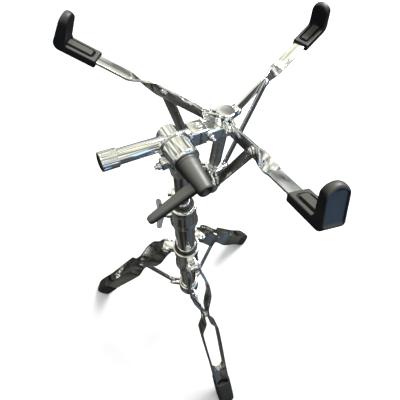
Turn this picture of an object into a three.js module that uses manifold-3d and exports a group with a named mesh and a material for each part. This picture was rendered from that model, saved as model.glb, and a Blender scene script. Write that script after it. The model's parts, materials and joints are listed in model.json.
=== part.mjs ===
// Snare drum stand: a tripod base, a height tube, a tilter with a short boom, and a three-armed basket.
// Millimetres, +Z up. The base tube stands on Z, and the group is moved at the end so that its
// box is centred on the origin with the feet on Z = 0.
import * as THREE from 'three';
import { mergeVertices } from 'three/addons/utils/BufferGeometryUtils.js';
import Module from 'manifold-3d';

const wasm = await Module();
wasm.setup();

// ---------------------------------------------------------------- driving dimensions
const GAP = 0.3; // running clearance between neighbouring pieces
const ROUND = 20; // sides on a tube
const SMALL_ROUND = 8; // sides on a pin or a screw
const FAR = 100; // reach of a cutting tool that passes right through
const CLEVIS_GAP = 0.4; // between a link and each cheek of its clevis
const THREAD_RADIUS = 3; // wing screws
const SMALL_THREAD_RADIUS = 2; // collar and key bolts

// tripod
const LEG_AZIMUTH = 173.5;
const LEG_HINGE_RADIUS = 34;
const LEG_HINGE_HEIGHT = 345;
const LEG_LENGTH = 388;
const LEG_SPREAD = 29.5; // degrees from the base tube
const LEG_PINCH = 118; // distance from the hinge to the brace rivet
const LEG_STRIP_HEIGHT = 25;
const LEG_STRIP_THICKNESS = 3;
const LEG_EYE_RADIUS = 9.5;
const LEG_PIN_RADIUS = 3;
const LEG_RIVET_RADIUS = 2.5;
const LUG_WIDTH = 14;
const BRACE_LUG_RADIUS = 33;
const BRACE_LUG_HEIGHT = 156;
const BRACE_THICKNESS = 5;
const BRACE_END_RADIUS = 5.6;
const BRACE_CHEEK = 3.5;
const BASE_TUBE_RADIUS = 15.9;
const BASE_TUBE_WALL = 1.8;
const BASE_TUBE_BOTTOM = 120;
const BASE_TUBE_TOP = 490;
const LEG_COLLAR_TOP = 361;
const LEG_COLLAR_LENGTH = 76;
const INSERT_RADIUS = 19.6; // the plastic ring let into the leg collar's mouth
const INSERT_DEPTH = 18;

// height adjustment
const CLAMP_TOP = 499;
const CLAMP_BOTTOM = 453;
const UPPER_TUBE_RADIUS = 9.5;
const UPPER_TUBE_BOTTOM = 300;
const TILTER_HEIGHT = 606;
const NECK_SOCKET_BOTTOM = 572;
const NECK_RADIUS = 12.2;
const TUBE_WALL = 1.5;
const CLAMP_INSERT_RADIUS = 14.2;
const WING_BOSS_END = 24;
const WING_AZIMUTH = 186;
const KEY_HEIGHT = 488; // square-headed bolt at the back of the clamp
const KEY_SIDE = -24;
const KEY_LUG_END = 16;

// tilter and boom, in the tilter's frame: X points out along the handle
const HANDLE_AZIMUTH = -58.2;
const TILT = 9;
const ROLL = -2.5;
const TILTER_COLLAR_RADIUS = 17;
const TILTER_COLLAR_FRONT = 15.5;
const TILTER_COLLAR_BACK = -9;
const TILTER_HEAD_RADIUS = 12.5;
const TILTER_HEAD_BACK = -33;
const SPIGOT_RADIUS = 9;
const STUD_RADIUS = 4;
const SHOE_RADIUS = 6;
const SHOE_LENGTH = 5; // from the boom's side to the stud
const FLANGE_RADIUS = 19.2;
const BOOM_OFFSET = -18.8;
const BOOM_RADIUS = 8.5;
const BOOM_FREE_END = 78;
const BOOM_HUB_DISTANCE = 67.1;
const HANDLE_TIP = 57;
const HANDLE_HUB_RADIUS = 12.8;
const HANDLE_TIP_RADIUS = 8.7;
const LEVER_PLACE = 44; // the lever's middle, along the handle's axis
const LEVER_LENGTH = 66;
const LEVER_AZIMUTH = 213; // degrees about the handle's axis, from the tilter's Y

// basket, in the basket's frame: Z up the basket tube, 0 at the boom's axis
const HUB_TOP = 21;
const HUB_RADIUS = 10.6;
const HUB_DEPTH = 16.3;
const ARM_AZIMUTH = 228.7;
const ARM_RISE = 18.2;
const ARM_HINGE_RADIUS = 21;
const ARM_HINGE_DROP = 10.7; // below the cap's top
const STRAP_WIDTH = 15;
const STRAP_THICKNESS = 3;
const ARM_PIN_RADIUS = 2.5;
const ARM_RIVET_RADIUS = 2.3;
const ARM_EYE_RADIUS = 7.5;
const ARM_RIVET = 53; // distance from the hinge along the arm
const ARM_TWIST_START = 60;
const ARM_TWIST_END = 94;
const CLAW_CORNER_RADIUS = 173.9; // the drum's rim seat, from the tube's axis
const CLAW_CORNER_HEIGHT = 42.6; // above the cap's top
const BASKET_TUBE_RADIUS = 7.8;
const BASKET_TUBE_LENGTH = 137.5;
const SLIDER_DROP = 100.7; // brace pins, below the cap's top
const SLIDER_LUG_RADIUS = 20;
const LUG_END_RADIUS = 5.5;
const HUB_CHEEK = 3.4;
const SLIDER_CHEEK = 2.8;
const BASKET_BRACE_WIDTH = 12;
const BASKET_BRACE_THICKNESS = 2.6;
const BASKET_BRACE_OFFSET = -(STRAP_THICKNESS + BASKET_BRACE_THICKNESS) / 2 - GAP;

// ---------------------------------------------------------------- finishes
const chrome = () => new THREE.MeshStandardMaterial({ color: 0xd9dce0, roughness: 0.12, metalness: 1 });
const darkChrome = () => new THREE.MeshStandardMaterial({ color: 0x8d8f92, roughness: 0.15, metalness: 1 });
const rubber = () => new THREE.MeshStandardMaterial({ color: 0x1d1e20, roughness: 0.7, metalness: 0 });
const plastic = () => new THREE.MeshStandardMaterial({ color: 0x2a2b2a, roughness: 0.5, metalness: 0 });

// ---------------------------------------------------------------- solids
const rad = THREE.MathUtils.degToRad;
const vec = (x, y, z) => new THREE.Vector3(x, y, z);

function solid(geometry) {
  const bare = geometry.clone();
  bare.deleteAttribute('normal');
  bare.deleteAttribute('uv');
  const merged = mergeVertices(bare, 1e-4);
  const mesh = new wasm.Mesh({
    numProp: 3,
    vertProperties: new Float32Array(merged.attributes.position.array),
    triVerts: new Uint32Array(merged.index.array),
  });
  return new wasm.Manifold(mesh);
}

function geometryOf(manifold) {
  const mesh = manifold.getMesh();
  const geometry = new THREE.BufferGeometry();
  geometry.setAttribute('position', new THREE.BufferAttribute(mesh.vertProperties, 3));
  geometry.setIndex(new THREE.BufferAttribute(mesh.triVerts, 1));
  return geometry;
}

function join(...geometries) {
  return geometryOf(geometries.map(solid).reduce((whole, piece) => whole.add(piece)));
}

function cut(geometry, ...tools) {
  return geometryOf(tools.map(solid).reduce((whole, tool) => whole.subtract(tool), solid(geometry)));
}

function overlapOf(a, b) {
  return geometryOf(solid(a).intersect(solid(b)));
}

// A closed solid through rings of points that all have the same count.
function loft(rings) {
  const count = rings[0].length;
  const points = rings.flat();
  const index = [];
  for (let ring = 0; ring < rings.length - 1; ring++) {
    for (let i = 0; i < count; i++) {
      const a = ring * count + i;
      const b = ring * count + ((i + 1) % count);
      index.push(a, b, b + count, a, b + count, a + count);
    }
  }
  const last = (rings.length - 1) * count;
  for (let i = 1; i < count - 1; i++) {
    index.push(0, i + 1, i);
    index.push(last, last + i, last + i + 1);
  }
  let volume = 0;
  for (let t = 0; t < index.length; t += 3) {
    const [p, q, r] = [points[index[t]], points[index[t + 1]], points[index[t + 2]]];
    volume += p.dot(q.clone().cross(r));
  }
  if (volume < 0) index.reverse();
  const geometry = new THREE.BufferGeometry();
  const flat = points.flatMap((p) => [p.x, p.y, p.z]);
  geometry.setAttribute('position', new THREE.Float32BufferAttribute(flat, 3));
  geometry.setIndex(index);
  return geometry;
}

// A flat strip: each station has its centre, its width and thickness directions, and half sizes.
function strip(stations, grow = 0) {
  return loft(
    stations.map(({ at, across, through, halfWidth, halfThickness }) => {
      const w = across.clone().multiplyScalar(halfWidth + grow);
      const t = through.clone().multiplyScalar(halfThickness + grow);
      return [
        at.clone().add(w).add(t),
        at.clone().sub(w).add(t),
        at.clone().sub(w).sub(t),
        at.clone().add(w).sub(t),
      ];
    })
  );
}

// A turned solid about Z: the profile is [radius, height] pairs.
function turned(profile, sides = ROUND) {
  const geometry = new THREE.LatheGeometry(profile.map(([r, z]) => new THREE.Vector2(r, z)), sides);
  return geometry.rotateX(Math.PI / 2);
}

// The same, turned about X or Y instead.
const alongX = (geometry) => geometry.rotateY(Math.PI / 2);
const alongY = (geometry) => geometry.rotateX(-Math.PI / 2);

function rod(radius, low, high, sides = ROUND) {
  return turned([[0, low], [radius, low], [radius, high], [0, high]], sides);
}

function tube(outer, inner, low, high, sides = ROUND) {
  return turned([[inner, low], [outer, low], [outer, high], [inner, high], [inner, low]], sides);
}

function box(low, high) {
  const size = vec(...high).sub(vec(...low));
  const middle = vec(...high).add(vec(...low)).multiplyScalar(0.5);
  return new THREE.BoxGeometry(size.x, size.y, size.z).translate(middle.x, middle.y, middle.z);
}

// A flat outline in the XZ plane, extruded along Y and centred on it.
function plate(shape, thickness, middle = 0, curveSegments = 4) {
  const geometry = new THREE.ExtrudeGeometry(shape, { depth: thickness, bevelEnabled: false, curveSegments });
  return geometry.rotateX(Math.PI / 2).translate(0, middle + thickness / 2, 0);
}

// A bar with round ends between two points of the XZ plane.
function linkShape(from, to, radius) {
  const angle = Math.atan2(to[1] - from[1], to[0] - from[0]);
  const shape = new THREE.Shape();
  shape.absarc(from[0], from[1], radius, angle + Math.PI / 2, angle + Math.PI * 1.5, false);
  shape.absarc(to[0], to[1], radius, angle - Math.PI / 2, angle + Math.PI / 2, false);
  shape.closePath();
  return shape;
}

// A pin along Y with a low dome on each end.
function domedPin(radius, headRadius, halfLength, headHeight) {
  const end = halfLength + headHeight;
  return alongY(
    turned(
      [
        [0, -end],
        [headRadius * 0.6, -end],
        [headRadius, -halfLength],
        [radius, -halfLength],
        [radius, halfLength],
        [headRadius, halfLength],
        [headRadius * 0.6, end],
        [0, end],
      ],
      SMALL_ROUND
    )
  );
}

function pinHole(radius, x, z, halfLength = 30) {
  return alongY(rod(radius, -halfLength, halfLength, SMALL_ROUND)).translate(x, 0, z);
}

function add(group, name, geometry, material) {
  const mesh = new THREE.Mesh(geometry, material);
  mesh.name = name;
  group.add(mesh);
  return mesh;
}

function frameAt(parent, position, rotation = [0, 0, 0]) {
  const group = new THREE.Group();
  group.position.set(...position);
  group.rotation.set(...rotation.map(rad));
  parent.add(group);
  return group;
}

const stand = new THREE.Group();

// ---------------------------------------------------------------- base tube and its two collars
const legAngles = [0, 1, 2].map((k) => LEG_AZIMUTH - 120 * k);
const LOCK_AZIMUTH = LEG_AZIMUTH - 60;
const LOCK_HEIGHT = 312;
const LOCK_BOSS_END = 26;

add(
  stand,
  'base_tube',
  tube(BASE_TUBE_RADIUS, BASE_TUBE_RADIUS - BASE_TUBE_WALL, BASE_TUBE_BOTTOM, BASE_TUBE_TOP),
  chrome()
);
add(
  stand,
  'base_tube_plug',
  turned([
    [0, BASE_TUBE_BOTTOM - 4],
    [14, BASE_TUBE_BOTTOM - 4],
    [BASE_TUBE_RADIUS, BASE_TUBE_BOTTOM - 2.5],
    [BASE_TUBE_RADIUS, BASE_TUBE_BOTTOM - GAP],
    [13.7, BASE_TUBE_BOTTOM - GAP],
    [13.7, BASE_TUBE_BOTTOM + 12],
    [0, BASE_TUBE_BOTTOM + 12],
  ]),
  plastic()
);

function braceCollar() {
  const bore = BASE_TUBE_RADIUS + GAP;
  const middle = BRACE_LUG_HEIGHT;
  const body = turned([
    [0, middle - 24],
    [18, middle - 24],
    [20.5, middle - 18],
    [20.5, middle + 10],
    [19, middle + 14],
    [0, middle + 14],
  ]);
  const cheek = (side) => {
    const y = side * (BRACE_THICKNESS / 2 + CLEVIS_GAP + BRACE_CHEEK / 2);
    return plate(linkShape([17, middle], [BRACE_LUG_RADIUS, middle], 7), BRACE_CHEEK, y);
  };
  const pieces = legAngles.flatMap((angle) => [-1, 1].map((side) => cheek(side).rotateZ(rad(angle))));
  return cut(join(body, ...pieces), rod(bore, middle - FAR, middle + FAR));
}
add(stand, 'brace_collar', braceCollar(), chrome());

function legCollar() {
  const top = LEG_COLLAR_TOP;
  const bore = BASE_TUBE_RADIUS + GAP;
  const body = turned([
    [bore, top - LEG_COLLAR_LENGTH],
    [20.5, top - LEG_COLLAR_LENGTH],
    [21.5, top - 73],
    [21, top - 67],
    [18.6, top - 62],
    [18.6, top - 34],
    [20.6, top - 28],
    [20.6, top - 10],
    [22.4, top - 8],
    [22.4, top - 1],
    [21.6, top],
    [INSERT_RADIUS, top],
    [INSERT_RADIUS, top - INSERT_DEPTH],
    [bore, top - INSERT_DEPTH],
    [bore, top - LEG_COLLAR_LENGTH],
  ]);
  const lug = (angle) =>
    plate(
      linkShape([17, LEG_HINGE_HEIGHT], [LEG_HINGE_RADIUS, LEG_HINGE_HEIGHT], 8),
      LUG_WIDTH
    ).rotateZ(rad(angle));
  const onLockSide = (geometry) => geometry.translate(0, 0, LOCK_HEIGHT).rotateZ(rad(LOCK_AZIMUTH));
  const boss = onLockSide(alongX(rod(7.5, 14, LOCK_BOSS_END, SMALL_ROUND)));
  const lockHole = onLockSide(alongX(rod(THREAD_RADIUS + GAP, 10, FAR, SMALL_ROUND)));
  const holes = legAngles.map((angle) =>
    pinHole(LEG_PIN_RADIUS + GAP, LEG_HINGE_RADIUS, LEG_HINGE_HEIGHT, 12).rotateZ(rad(angle))
  );
  const clear = rod(INSERT_RADIUS, top - INSERT_DEPTH, top + FAR);
  const bored = rod(bore, top - FAR, top);
  return cut(join(body, ...legAngles.map(lug), boss), bored, clear, lockHole, ...holes);
}
add(stand, 'leg_collar', legCollar(), chrome());
add(
  stand,
  'leg_collar_insert',
  tube(
    INSERT_RADIUS - GAP,
    BASE_TUBE_RADIUS + GAP,
    LEG_COLLAR_TOP - INSERT_DEPTH + GAP,
    LEG_COLLAR_TOP - 1.5
  ),
  plastic()
);

// A screw along +X with two wings, its thread pointing to -X.
function wingScrew(threadLength, wingReach) {
  const tipRadius = 4;
  const core = alongX(
    turned(
      [
        [0, -threadLength],
        [THREAD_RADIUS, -threadLength],
        [THREAD_RADIUS, 0],
        [6, 0],
        [6.4, 2],
        [5, 11],
        [3.5, 13],
        [0, 13],
      ],
      SMALL_ROUND
    )
  );
  const wing = (side) => {
    const outline = new THREE.Shape();
    outline.moveTo(1, 0);
    outline.lineTo(6, side * (wingReach - tipRadius));
    outline.absarc(6 + tipRadius, side * (wingReach - tipRadius), tipRadius, Math.PI, 0, side > 0);
    outline.lineTo(12, side * 3);
    outline.lineTo(10, 0);
    outline.closePath();
    return plate(outline, 4.2);
  };
  return join(core, wing(1), wing(-1));
}

const lockFrame = frameAt(stand, [0, 0, LOCK_HEIGHT], [0, 0, LOCK_AZIMUTH]);
const lockScrew = add(lockFrame, 'leg_lock_screw', wingScrew(9.6, 20), chrome());
lockScrew.position.set(LOCK_BOSS_END + GAP, 0, 0);
lockScrew.rotation.x = rad(25);

// ---------------------------------------------------------------- legs
// Each leg is a pair of steel strips on edge, pinched together at the brace and joined by a web above the
// boot. In the leg's own frame X runs down from the hinge, Y is across and Z is the strips' height.
const LEG_END = LEG_LENGTH - 14;
const WEB_START = LEG_END - 100;
const PINCH_SPREAD = 4.4;
const STRIP_SPREAD = [
  // distance down the leg, half spread of the two sides
  [0, 8.8],
  [12, 9.2],
  [44, 16.5],
  [64, 15.8],
  [LEG_PINCH - 11, PINCH_SPREAD],
  [LEG_PINCH + 11, PINCH_SPREAD],
  [LEG_PINCH + 38, 15.5],
  [LEG_PINCH + 52, 15.5],
  [LEG_END - 80, 13.2],
  [LEG_END, 13.2],
];

function legStrip(side) {
  const eye = [9.2, 7.6, 4.6].map((reach) => [-reach, STRIP_SPREAD[0][1]]);
  const path = [...eye, ...STRIP_SPREAD];
  const stations = path.map(([x, y], i) => {
    const before = path[Math.max(i - 1, 0)];
    const after = path[Math.min(i + 1, path.length - 1)];
    const run = vec(after[0] - before[0], side * (after[1] - before[1]), 0).normalize();
    const full = Math.min(LEG_STRIP_HEIGHT / 2, LEG_EYE_RADIUS + x * 0.06);
    return {
      at: vec(x, side * y, 0),
      across: vec(0, 0, 1),
      through: vec(-run.y, run.x, 0),
      halfWidth: x < 0 ? Math.sqrt(LEG_EYE_RADIUS ** 2 - x ** 2) : full,
      halfThickness: LEG_STRIP_THICKNESS / 2,
    };
  });
  return strip(stations);
}

function legWeb() {
  const half = STRIP_SPREAD[STRIP_SPREAD.length - 1][1];
  const height = LEG_STRIP_HEIGHT - 6;
  const block = box([WEB_START, -half, -height / 2], [LEG_END, half, height / 2]);
  const throat = rod(half - LEG_STRIP_THICKNESS / 2, -FAR, FAR).translate(WEB_START, 0, 0);
  return cut(block, throat);
}

const LEG_TURN = 90 - LEG_SPREAD; // turns the strip's X from level to down the leg
const pinchRadius = LEG_HINGE_RADIUS + LEG_PINCH * Math.sin(rad(LEG_SPREAD));
const pinchHeight = LEG_HINGE_HEIGHT - LEG_PINCH * Math.cos(rad(LEG_SPREAD));

function legStrap() {
  const holes = [pinHole(LEG_PIN_RADIUS + GAP, 0, 0), pinHole(LEG_RIVET_RADIUS + GAP, LEG_PINCH, 0)];
  return cut(join(legStrip(1), legStrip(-1), legWeb()), ...holes);
}

// A rounded boot over the leg's end, cut flat where it stands on the floor.
function foot() {
  const start = LEG_LENGTH - 68;
  const end = LEG_LENGTH + 12;
  const ring = (x, halfY, halfZ) => {
    const corner = Math.min(halfY, halfZ) * 0.28;
    const points = [];
    for (let i = 0; i < 16; i++) {
      const angle = (Math.PI * 2 * (i + 0.5)) / 16;
      const y = Math.sign(Math.cos(angle)) * (halfY - corner) + corner * Math.cos(angle);
      const z = Math.sign(Math.sin(angle)) * (halfZ - corner) + corner * Math.sin(angle);
      points.push(vec(x, y, z));
    }
    return points;
  };
  const body = loft([
    ring(start, 16.4, 14.4),
    ring(start + 3, 16.7, 15),
    ring(start + 54, 17.2, 17.4),
    ring(end - 10, 17, 17),
    ring(end - 4, 15, 15),
    ring(end, 11.5, 11),
  ]);
  const halfY = STRIP_SPREAD[STRIP_SPREAD.length - 1][1] + LEG_STRIP_THICKNESS / 2 + GAP;
  const halfZ = LEG_STRIP_HEIGHT / 2 + GAP;
  const pocket = box([start - 5, -halfY, -halfZ], [LEG_END + GAP, halfY, halfZ]);
  const floor = box([-100, -60, -LEG_HINGE_HEIGHT - 80], [400, 60, -LEG_HINGE_HEIGHT]);
  return cut(cut(body, pocket).rotateY(rad(LEG_TURN)), floor);
}

function legBrace() {
  const fromPinch = [pinchRadius, pinchHeight];
  const toLug = [BRACE_LUG_RADIUS, BRACE_LUG_HEIGHT];
  const bar = plate(linkShape(fromPinch, toLug, BRACE_END_RADIUS), BRACE_THICKNESS);
  const length = Math.hypot(fromPinch[0] - toLug[0], fromPinch[1] - toLug[1]);
  const slope = Math.atan2(toLug[1] - fromPinch[1], toLug[0] - fromPinch[0]);
  const groove = (side) =>
    plate(linkShape([14, 0], [length - 14, 0], 2.6), 1.4, (side * BRACE_THICKNESS) / 2)
      .rotateY(-slope)
      .translate(fromPinch[0], 0, fromPinch[1]);
  return cut(bar, groove(1), groove(-1), pinHole(LEG_RIVET_RADIUS + GAP, ...fromPinch));
}

legAngles.forEach((angle, k) => {
  const plane = frameAt(stand, [0, 0, 0], [0, 0, angle]);
  const hinge = frameAt(plane, [LEG_HINGE_RADIUS, 0, LEG_HINGE_HEIGHT]);
  const pinReach = STRIP_SPREAD[0][1] + LEG_STRIP_THICKNESS / 2 + GAP;
  const pin = domedPin(LEG_PIN_RADIUS, 5.2, pinReach, 2.6);
  add(hinge, `leg_hinge_pin_${k + 1}`, pin, chrome());
  add(hinge, `leg_strap_${k + 1}`, legStrap().rotateY(rad(LEG_TURN)), darkChrome());
  add(hinge, `foot_${k + 1}`, foot(), rubber());
  add(plane, `leg_brace_${k + 1}`, legBrace(), darkChrome());
  const rivetReach = PINCH_SPREAD + LEG_STRIP_THICKNESS / 2 + GAP;
  const rivet = add(plane, `leg_rivet_${k + 1}`, domedPin(LEG_RIVET_RADIUS, 4.6, rivetReach, 2.2), chrome());
  rivet.position.set(pinchRadius, 0, pinchHeight);
});

// ---------------------------------------------------------------- height clamp and upper tube
function heightClamp() {
  const bore = BASE_TUBE_RADIUS + GAP;
  const body = turned([
    [bore, CLAMP_BOTTOM],
    [19.6, CLAMP_BOTTOM],
    [20.4, CLAMP_BOTTOM + 2],
    [17.8, CLAMP_BOTTOM + 8],
    [17.8, CLAMP_TOP - 12],
    [18.2, CLAMP_TOP - 9],
    [18.2, CLAMP_TOP],
    [CLAMP_INSERT_RADIUS, CLAMP_TOP],
    [CLAMP_INSERT_RADIUS, CLAMP_TOP - 8],
    [bore, CLAMP_TOP - 8],
    [bore, CLAMP_BOTTOM],
  ]);
  const middle = (CLAMP_TOP + CLAMP_BOTTOM) / 2;
  const wingBoss = alongX(rod(7.5, 15, WING_BOSS_END, ROUND)).translate(0, 0, middle);
  const wingHole = alongX(rod(THREAD_RADIUS + GAP, 10, FAR, SMALL_ROUND)).translate(0, 0, middle);
  const keyBoss = box([4, KEY_SIDE - 6, KEY_HEIGHT - 5], [KEY_LUG_END, -14, KEY_HEIGHT + 5]);
  const keyBore = alongX(rod(SMALL_THREAD_RADIUS + GAP, 0, 30, SMALL_ROUND));
  const keyHole = keyBore.translate(0, KEY_SIDE, KEY_HEIGHT);
  const clear = rod(bore, CLAMP_BOTTOM - 5, CLAMP_TOP - 8);
  return cut(join(body, wingBoss, keyBoss), clear, wingHole, keyHole);
}

const clampFrame = frameAt(stand, [0, 0, 0], [0, 0, WING_AZIMUTH]);
add(clampFrame, 'height_clamp', heightClamp(), chrome());
add(
  clampFrame,
  'height_clamp_insert',
  tube(CLAMP_INSERT_RADIUS - 0.4, UPPER_TUBE_RADIUS + GAP, BASE_TUBE_TOP - 30, CLAMP_TOP - 1),
  plastic()
);
const wingBolt = add(clampFrame, 'height_wing_bolt', wingScrew(7.6, 21), chrome());
wingBolt.position.set(WING_BOSS_END + GAP, 0, (CLAMP_TOP + CLAMP_BOTTOM) / 2);
wingBolt.rotation.x = rad(75);
const keyBolt = turned(
  [
    [0, -10],
    [SMALL_THREAD_RADIUS, -10],
    [SMALL_THREAD_RADIUS, GAP],
    [3.6, GAP],
    [3.6, 5],
    [0, 5],
  ],
  4
);
add(clampFrame, 'clamp_key_bolt', alongX(keyBolt).translate(KEY_LUG_END, KEY_SIDE, KEY_HEIGHT), darkChrome());

const UPPER_TUBE_TOP = TILTER_HEIGHT - TILTER_COLLAR_RADIUS - 3;
add(
  stand,
  'upper_tube',
  tube(UPPER_TUBE_RADIUS, UPPER_TUBE_RADIUS - TUBE_WALL, UPPER_TUBE_BOTTOM, UPPER_TUBE_TOP),
  chrome()
);

// ---------------------------------------------------------------- tilter
const tilter = frameAt(stand, [0, 0, TILTER_HEIGHT], [0, 0, HANDLE_AZIMUTH]);

const COLLAR_BOLT = [-3, 0, -12];

function tilterCollar() {
  const ring = alongX(
    turned([
      [SPIGOT_RADIUS + GAP, TILTER_COLLAR_BACK],
      [TILTER_COLLAR_RADIUS, TILTER_COLLAR_BACK],
      [TILTER_COLLAR_RADIUS, TILTER_COLLAR_FRONT - 2],
      [TILTER_COLLAR_RADIUS - 2, TILTER_COLLAR_FRONT],
      [SPIGOT_RADIUS + GAP, TILTER_COLLAR_FRONT],
      [SPIGOT_RADIUS + GAP, TILTER_COLLAR_BACK],
    ])
  );
  const socketBottom = NECK_SOCKET_BOTTOM - TILTER_HEIGHT;
  const socket = turned([
    [0, socketBottom],
    [NECK_RADIUS, socketBottom],
    [NECK_RADIUS + 0.6, socketBottom + 6],
    [NECK_RADIUS + 3, -10],
    [0, -10],
  ]);
  const headRoom = box([-FAR, -FAR, -FAR], [TILTER_COLLAR_BACK, FAR, FAR]);
  const tubeHole = rod(UPPER_TUBE_RADIUS + GAP, socketBottom - 5, UPPER_TUBE_TOP - TILTER_HEIGHT + GAP);
  const lug = box([-8, -22, -17], [2, -10, -5]);
  const boltHole = alongY(rod(SMALL_THREAD_RADIUS + GAP, -30, -8, SMALL_ROUND)).translate(...COLLAR_BOLT);
  const bore = alongX(rod(SPIGOT_RADIUS + GAP, -20, 20));
  return cut(join(ring, cut(socket, headRoom), lug), tubeHole, bore, boltHole);
}
add(tilter, 'tilter_collar', tilterCollar(), chrome());
const collarBolt = turned(
  [
    [0, -29],
    [2.4, -29],
    [2.4, -26],
    [4.2, -26],
    [4.2, -22 - GAP],
    [SMALL_THREAD_RADIUS, -22 - GAP],
    [SMALL_THREAD_RADIUS, -10],
    [0, -10],
  ],
  SMALL_ROUND
);
add(tilter, 'tilter_collar_bolt', alongY(collarBolt).translate(...COLLAR_BOLT), chrome());

const tilt = frameAt(tilter, [0, 0, 0], [-TILT, 0, 0]);

const SHOE_END = BOOM_OFFSET + BOOM_RADIUS + SHOE_LENGTH;

function tilterHead() {
  const barrel = alongX(
    turned([
      [0, TILTER_HEAD_BACK],
      [TILTER_HEAD_RADIUS - 1.5, TILTER_HEAD_BACK],
      [TILTER_HEAD_RADIUS, TILTER_HEAD_BACK + 1.5],
      [TILTER_HEAD_RADIUS, TILTER_COLLAR_BACK - 4],
      [FLANGE_RADIUS, TILTER_COLLAR_BACK - 4],
      [FLANGE_RADIUS, TILTER_COLLAR_BACK - GAP],
      [SPIGOT_RADIUS, TILTER_COLLAR_BACK - GAP],
      [SPIGOT_RADIUS, TILTER_COLLAR_FRONT - 0.5],
      [0, TILTER_COLLAR_FRONT - 0.5],
    ])
  );
  const boomHole = alongY(rod(BOOM_RADIUS + GAP, -40, 40)).translate(BOOM_OFFSET, 0, 0);
  const studHole = alongX(rod(STUD_RADIUS + GAP, BOOM_OFFSET, 30));
  const shoeRoom = alongX(rod(SHOE_RADIUS + GAP, BOOM_OFFSET, SHOE_END + GAP, SMALL_ROUND));
  return cut(barrel, boomHole, studHole, shoeRoom);
}
add(tilt, 'tilter_head', tilterHead(), chrome());

// The shoe is hollowed to the boom, which it presses when the handle is screwed in.
function clampShoe() {
  const block = alongX(rod(SHOE_RADIUS, BOOM_OFFSET + BOOM_RADIUS - 2.4, SHOE_END, SMALL_ROUND));
  const boom = alongY(rod(BOOM_RADIUS + 0.2, -20, 20)).translate(BOOM_OFFSET, 0, 0);
  return cut(block, boom);
}
add(tilt, 'clamp_shoe', clampShoe(), darkChrome());

const STUD_END = TILTER_COLLAR_FRONT + 22;
const stud = alongX(rod(STUD_RADIUS, SHOE_END + GAP, STUD_END, SMALL_ROUND));
add(tilt, 'tilt_handle_stud', stud, darkChrome());

function tiltHandle() {
  const start = TILTER_COLLAR_FRONT + GAP;
  const hubBody = alongX(
    turned(
      [
        [0, start],
        [HANDLE_HUB_RADIUS, start],
        [HANDLE_HUB_RADIUS, start + 2],
        [HANDLE_TIP_RADIUS, HANDLE_TIP - 2],
        [HANDLE_TIP_RADIUS - 1, HANDLE_TIP],
        [0, HANDLE_TIP],
      ],
      32
    )
  );
  const lever = [
    // distance out, half width along X, half thickness
    [0, 7, 5],
    [12, 6.8, 5],
    [LEVER_LENGTH - 6, 4.6, 4.2],
    [LEVER_LENGTH - 2, 3.8, 3.4],
    [LEVER_LENGTH, 2.2, 2],
  ].map(([out, halfWidth, halfThickness]) => ({
    at: vec(LEVER_PLACE, out, 0),
    across: vec(1, 0, 0),
    through: vec(0, 0, 1),
    halfWidth,
    halfThickness,
  }));
  const arm = strip(lever).rotateX(rad(LEVER_AZIMUTH));
  const studHole = alongX(rod(STUD_RADIUS + GAP, 0, STUD_END + GAP, SMALL_ROUND));
  const recess = alongX(rod(4.4, HANDLE_TIP - 5, HANDLE_TIP + 5, SMALL_ROUND));
  return cut(join(hubBody, arm), studHole, recess);
}
add(tilt, 'tilt_handle', tiltHandle(), plastic());

// ---------------------------------------------------------------- boom
const boom = frameAt(tilt, [BOOM_OFFSET, 0, 0]);
const boomHubEnd = BOOM_HUB_DISTANCE - 29;
const FLUTES = 16;

add(
  boom,
  'boom_tube',
  alongY(tube(BOOM_RADIUS, BOOM_RADIUS - TUBE_WALL, -(BOOM_FREE_END - 2), boomHubEnd)),
  chrome()
);

// Shallow flutes run along a short sleeve behind the end plug.
function boomSleeve() {
  const inner = BOOM_RADIUS + GAP;
  const sleeve = tube(inner + 1.5, inner, -(BOOM_FREE_END - 3.5), -(BOOM_FREE_END - 16));
  const flutes = [];
  for (let i = 0; i < FLUTES; i++) {
    const angle = (Math.PI * 2 * i) / FLUTES;
    const reach = inner + 1.9;
    const flute = rod(0.8, -BOOM_FREE_END, -(BOOM_FREE_END - 14), SMALL_ROUND);
    flutes.push(flute.translate(reach * Math.cos(angle), reach * Math.sin(angle), 0));
  }
  return alongY(cut(sleeve, ...flutes));
}
add(boom, 'boom_end_sleeve', boomSleeve(), chrome());
add(
  boom,
  'boom_end_plug',
  alongY(
    turned([
      [0, -BOOM_FREE_END - 3],
      [7.5, -BOOM_FREE_END - 3],
      [10.6, -BOOM_FREE_END - 1],
      [10.8, -BOOM_FREE_END + 2 - GAP],
      [6.6, -BOOM_FREE_END + 2 - GAP],
      [6.6, -BOOM_FREE_END + 16],
      [0, -BOOM_FREE_END + 16],
    ])
  ),
  plastic()
);

// ---------------------------------------------------------------- bracket from the boom to the basket tube
const basket = frameAt(boom, [0, BOOM_HUB_DISTANCE, 0], [0, ROLL, 0]);

const BRACKET_SCREW = [0, -35, 0];
const BRACKET_BOLT = [0, -21, -3];

function basketBracket() {
  const block = box([-10.4, -46, -10.4], [10.4, -26, 9.9]);
  const web = box([-9.5, -27, -8.8], [9.5, -4, 4.4]);
  const ringRound = rod(BASKET_TUBE_RADIUS + 4.2, -8.8, 4.4);
  const tubeHole = rod(BASKET_TUBE_RADIUS + GAP, -30, 30);
  const boomHole = alongY(rod(BOOM_RADIUS + GAP, -60, -28));
  const screwHole = rod(2.5 + GAP, 4, 30, SMALL_ROUND).translate(...BRACKET_SCREW);
  const boltHole = alongX(rod(2.5 + GAP, -30, 30, SMALL_ROUND)).translate(...BRACKET_BOLT);
  return cut(join(block, web, ringRound), tubeHole, boomHole, screwHole, boltHole);
}
add(basket, 'basket_bracket', basketBracket(), chrome());
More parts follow.
